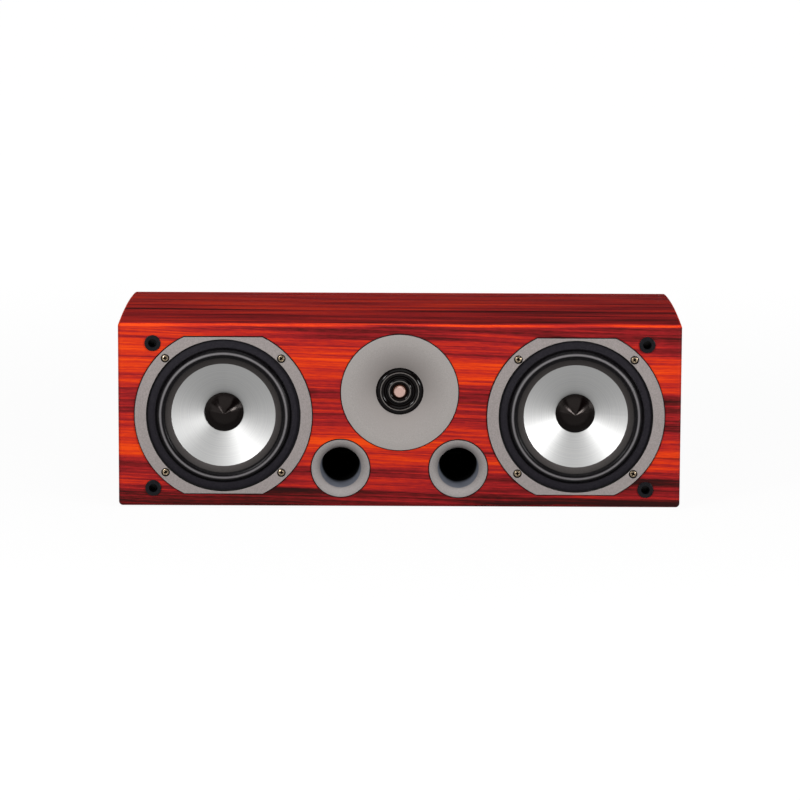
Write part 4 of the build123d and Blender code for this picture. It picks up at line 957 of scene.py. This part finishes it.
def resin_cloth():
    """Woven cotton in amber resin: two crossed wave bands make the weave's colour and bump."""
    material, tree, shader = start_finish("resin_dipped_cotton", {"Roughness": 0.7, **DULL})
    where = add(tree, "ShaderNodeTexCoord").outputs["Object"]
    weave = []
    for direction in ("X", "Z"):
        band = add(
            tree,
            "ShaderNodeTexWave",
            {"Vector": where, "Scale": THREAD_SCALE, "Distortion": 0.5},
            bands_direction=direction,
        )
        weave.append(band.outputs["Fac"])
    threads = add(tree, "ShaderNodeMath", {0: weave[0], 1: weave[1]}, operation="MULTIPLY").outputs[0]
    stops = [(0.0, "#8a6a2c"), (1.0, "#c19d51")]
    colour = add(tree, "ShaderNodeValToRGB", {0: threads}, stops=stops).outputs[0]
    tree.links.new(colour, shader.inputs["Base Color"])
    bump = add(tree, "ShaderNodeBump", {"Height": threads, "Strength": 0.4, "Distance": 0.2 * MM}).outputs[0]
    tree.links.new(bump, shader.inputs["Normal"])
    return material


cloth = resin_cloth()
for side in ("left", "right"):
    node = f"woofer_{side}_spider"
    low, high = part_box(node)
    axis = middle_of(node)
    wave = (high.y - low.y - CLOTH) / 2
    section = spider_section((high.x - low.x) / 2, low.y + wave - front_y, wave)
    rings = turned(section[:, 0], section[:, 1], RING_TURNS) + (axis.x, front_y, axis.z)
    spider = mesh_piece(f"cloth_spider_{side}", rings[None], cloth, True)
    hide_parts(node)
    hang_between(spider)

# %% [markdown]
# Screws
#
# Round-headed wood screws with a cross recess hold the woofers and the terminal cup. The head is a low dome
# whose section goes on over the edge and down the shank to the point. The recess is pressed into the dome:
# two crossed bars with sloping walls, deepest in the middle. No two screws stop at the same turn.

# %% Screw shapes
CROSS_LENGTH, CROSS_WIDTH = 4.0 * MM, 0.9 * MM
CROSS_DEPTH, CROSS_WALL = 1.0 * MM, 0.35 * MM
HEAD_CROWN = 0.7 * MM
# The head's upright wall starts at this share of its height.
WALL_START = 0.8
SCREW_TURNS, CROWN_POINTS = 96, 26
# Blackening sets in at the first depth and is full at the second, moved about by patches of grime.
BRIGHT_DEPTH, BLACK_DEPTH = 0.35 * MM, 0.95 * MM
GRIME_SIZE, GRIME_DEPTH = 0.8 * MM, 0.4 * MM


def screw_grid(head_radius, head_height, shank_radius, length, turn):
    """The crown's depth grows with the square of the radius. Where a bar of the cross covers the dome, the
    depth grows by the cross's own, which falls off over its walls and towards the bars' ends."""
    out = np.linspace(0, 1, CROWN_POINTS)
    tip = length - 2 * shank_radius
    radius = np.concatenate([head_radius * out, [head_radius] * 2, [shank_radius] * 2, [0.0]])
    wall = [head_height * WALL_START, head_height]
    depth = np.concatenate([HEAD_CROWN * out**2, wall, [head_height, tip], [length]])
    grid = turned(radius, depth, SCREW_TURNS)
    along = grid[..., 0] * cos(turn) + grid[..., 2] * sin(turn)
    across = grid[..., 2] * cos(turn) - grid[..., 0] * sin(turn)
    covered = np.zeros(along.shape)
    for run, side in ((along, across), (across, along)):
        inside = np.clip((CROSS_WIDTH / 2 + CROSS_WALL - abs(side)) / CROSS_WALL, 0, 1)
        ends = np.clip((CROSS_LENGTH / 2 - abs(run)) / (CROSS_LENGTH / 2), 0, 1) ** 0.5
        covered = np.maximum(covered, inside * ends)
    on_dome = np.arange(len(radius)) < len(out)
    grid[..., 1] += CROSS_DEPTH * covered * on_dome
    return grid


def blackened_metal(name, face, inwards, bright, dull):
    """Metal that is bright on the crown and blackened below a depth, so the recess and the edge stay dark."""
    material, tree, shader = start_finish(name, {"Metallic": 1.0, "Roughness": 0.3})
    where = add(tree, "ShaderNodeTexCoord").outputs["Object"]
    y = add(tree, "ShaderNodeSeparateXYZ", {0: where}).outputs["Y"]
    depth = add(
        tree, "ShaderNodeMath", {0: y, 1: inwards, 2: -inwards * face}, operation="MULTIPLY_ADD"
    ).outputs[0]
    grime = add(
        tree, "ShaderNodeTexNoise", {"Vector": where, "Scale": 1 / GRIME_SIZE, "Detail": 2.0}
    ).outputs[0]
    depth = add(
        tree, "ShaderNodeMath", {0: grime, 1: GRIME_DEPTH, 2: depth}, operation="MULTIPLY_ADD"
    ).outputs[0]
    share = add(tree, "ShaderNodeMapRange", {0: depth, 1: BRIGHT_DEPTH, 2: BLACK_DEPTH}).outputs[0]
    colour = add(tree, "ShaderNodeValToRGB", {0: share}, stops=[(0.0, bright), (1.0, dull)]).outputs[0]
    tree.links.new(colour, shader.inputs["Base Color"])
    return material


# %% Screws in place
# Each screw stops this much further round than the one before, in radians.
TURN_STEP = 0.9


def screws_for(node, name, material, head_radius, head_height, shank_radius, from_front, first_turn):
    """Four screws at the corners of a node's box, entering from the front or from the back."""
    low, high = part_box(node)
    sign = 1 if from_front else -1
    face = low.y if from_front else high.y
    grids = []
    for n, (x, z) in enumerate([(low.x, low.z), (high.x, low.z), (high.x, high.z), (low.x, high.z)]):
        inward = Vector((1 if x == low.x else -1, 0, 1 if z == low.z else -1)) * head_radius
        turn = first_turn + TURN_STEP * n
        grid = screw_grid(head_radius, head_height, shank_radius, high.y - low.y, turn)
        grids.append(grid * (1, sign, 1) + (x + inward.x, face, z + inward.z))
    piece = mesh_piece(name, np.stack(grids), material, False)
    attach(piece, "cabinet")
    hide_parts(node)


front_brass = blackened_metal("antique_brass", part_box("woofer_left_screws")[0].y, 1, "#a8967e", "#0d0906")
for side, first_turn in (("left", 0.5), ("right", 0.2)):
    screws_for(
        f"woofer_{side}_screws",
        f"woofer_screws_{side}",
        front_brass,
        head_radius=2.9 * MM,
        head_height=1.8 * MM,
        shank_radius=2.0 * MM,
        from_front=True,
        first_turn=first_turn,
    )
blacked = blackened_metal("blacked_steel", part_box("terminal_cup_screws")[1].y, -1, "#3a3a3c", "#0a0a0a")
screws_for(
    "terminal_cup_screws",
    "cup_screws",
    blacked,
    head_radius=3.2 * MM,
    head_height=1.6 * MM,
    shank_radius=1.75 * MM,
    from_front=False,
    first_turn=0.3,
)

# %% [markdown]
# Size
#
# The last lines measure the dressed speaker against the solids, to see that the finish hasn't changed its
# size.

# %% Size
visual_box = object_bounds()
for end, cad, visual in zip(("low", "high"), cad_box, visual_box):
    moved = [round((v - c) / MM, 2) for v, c in zip(visual, cad)]
    print(end, "corner moved by", moved, "mm")
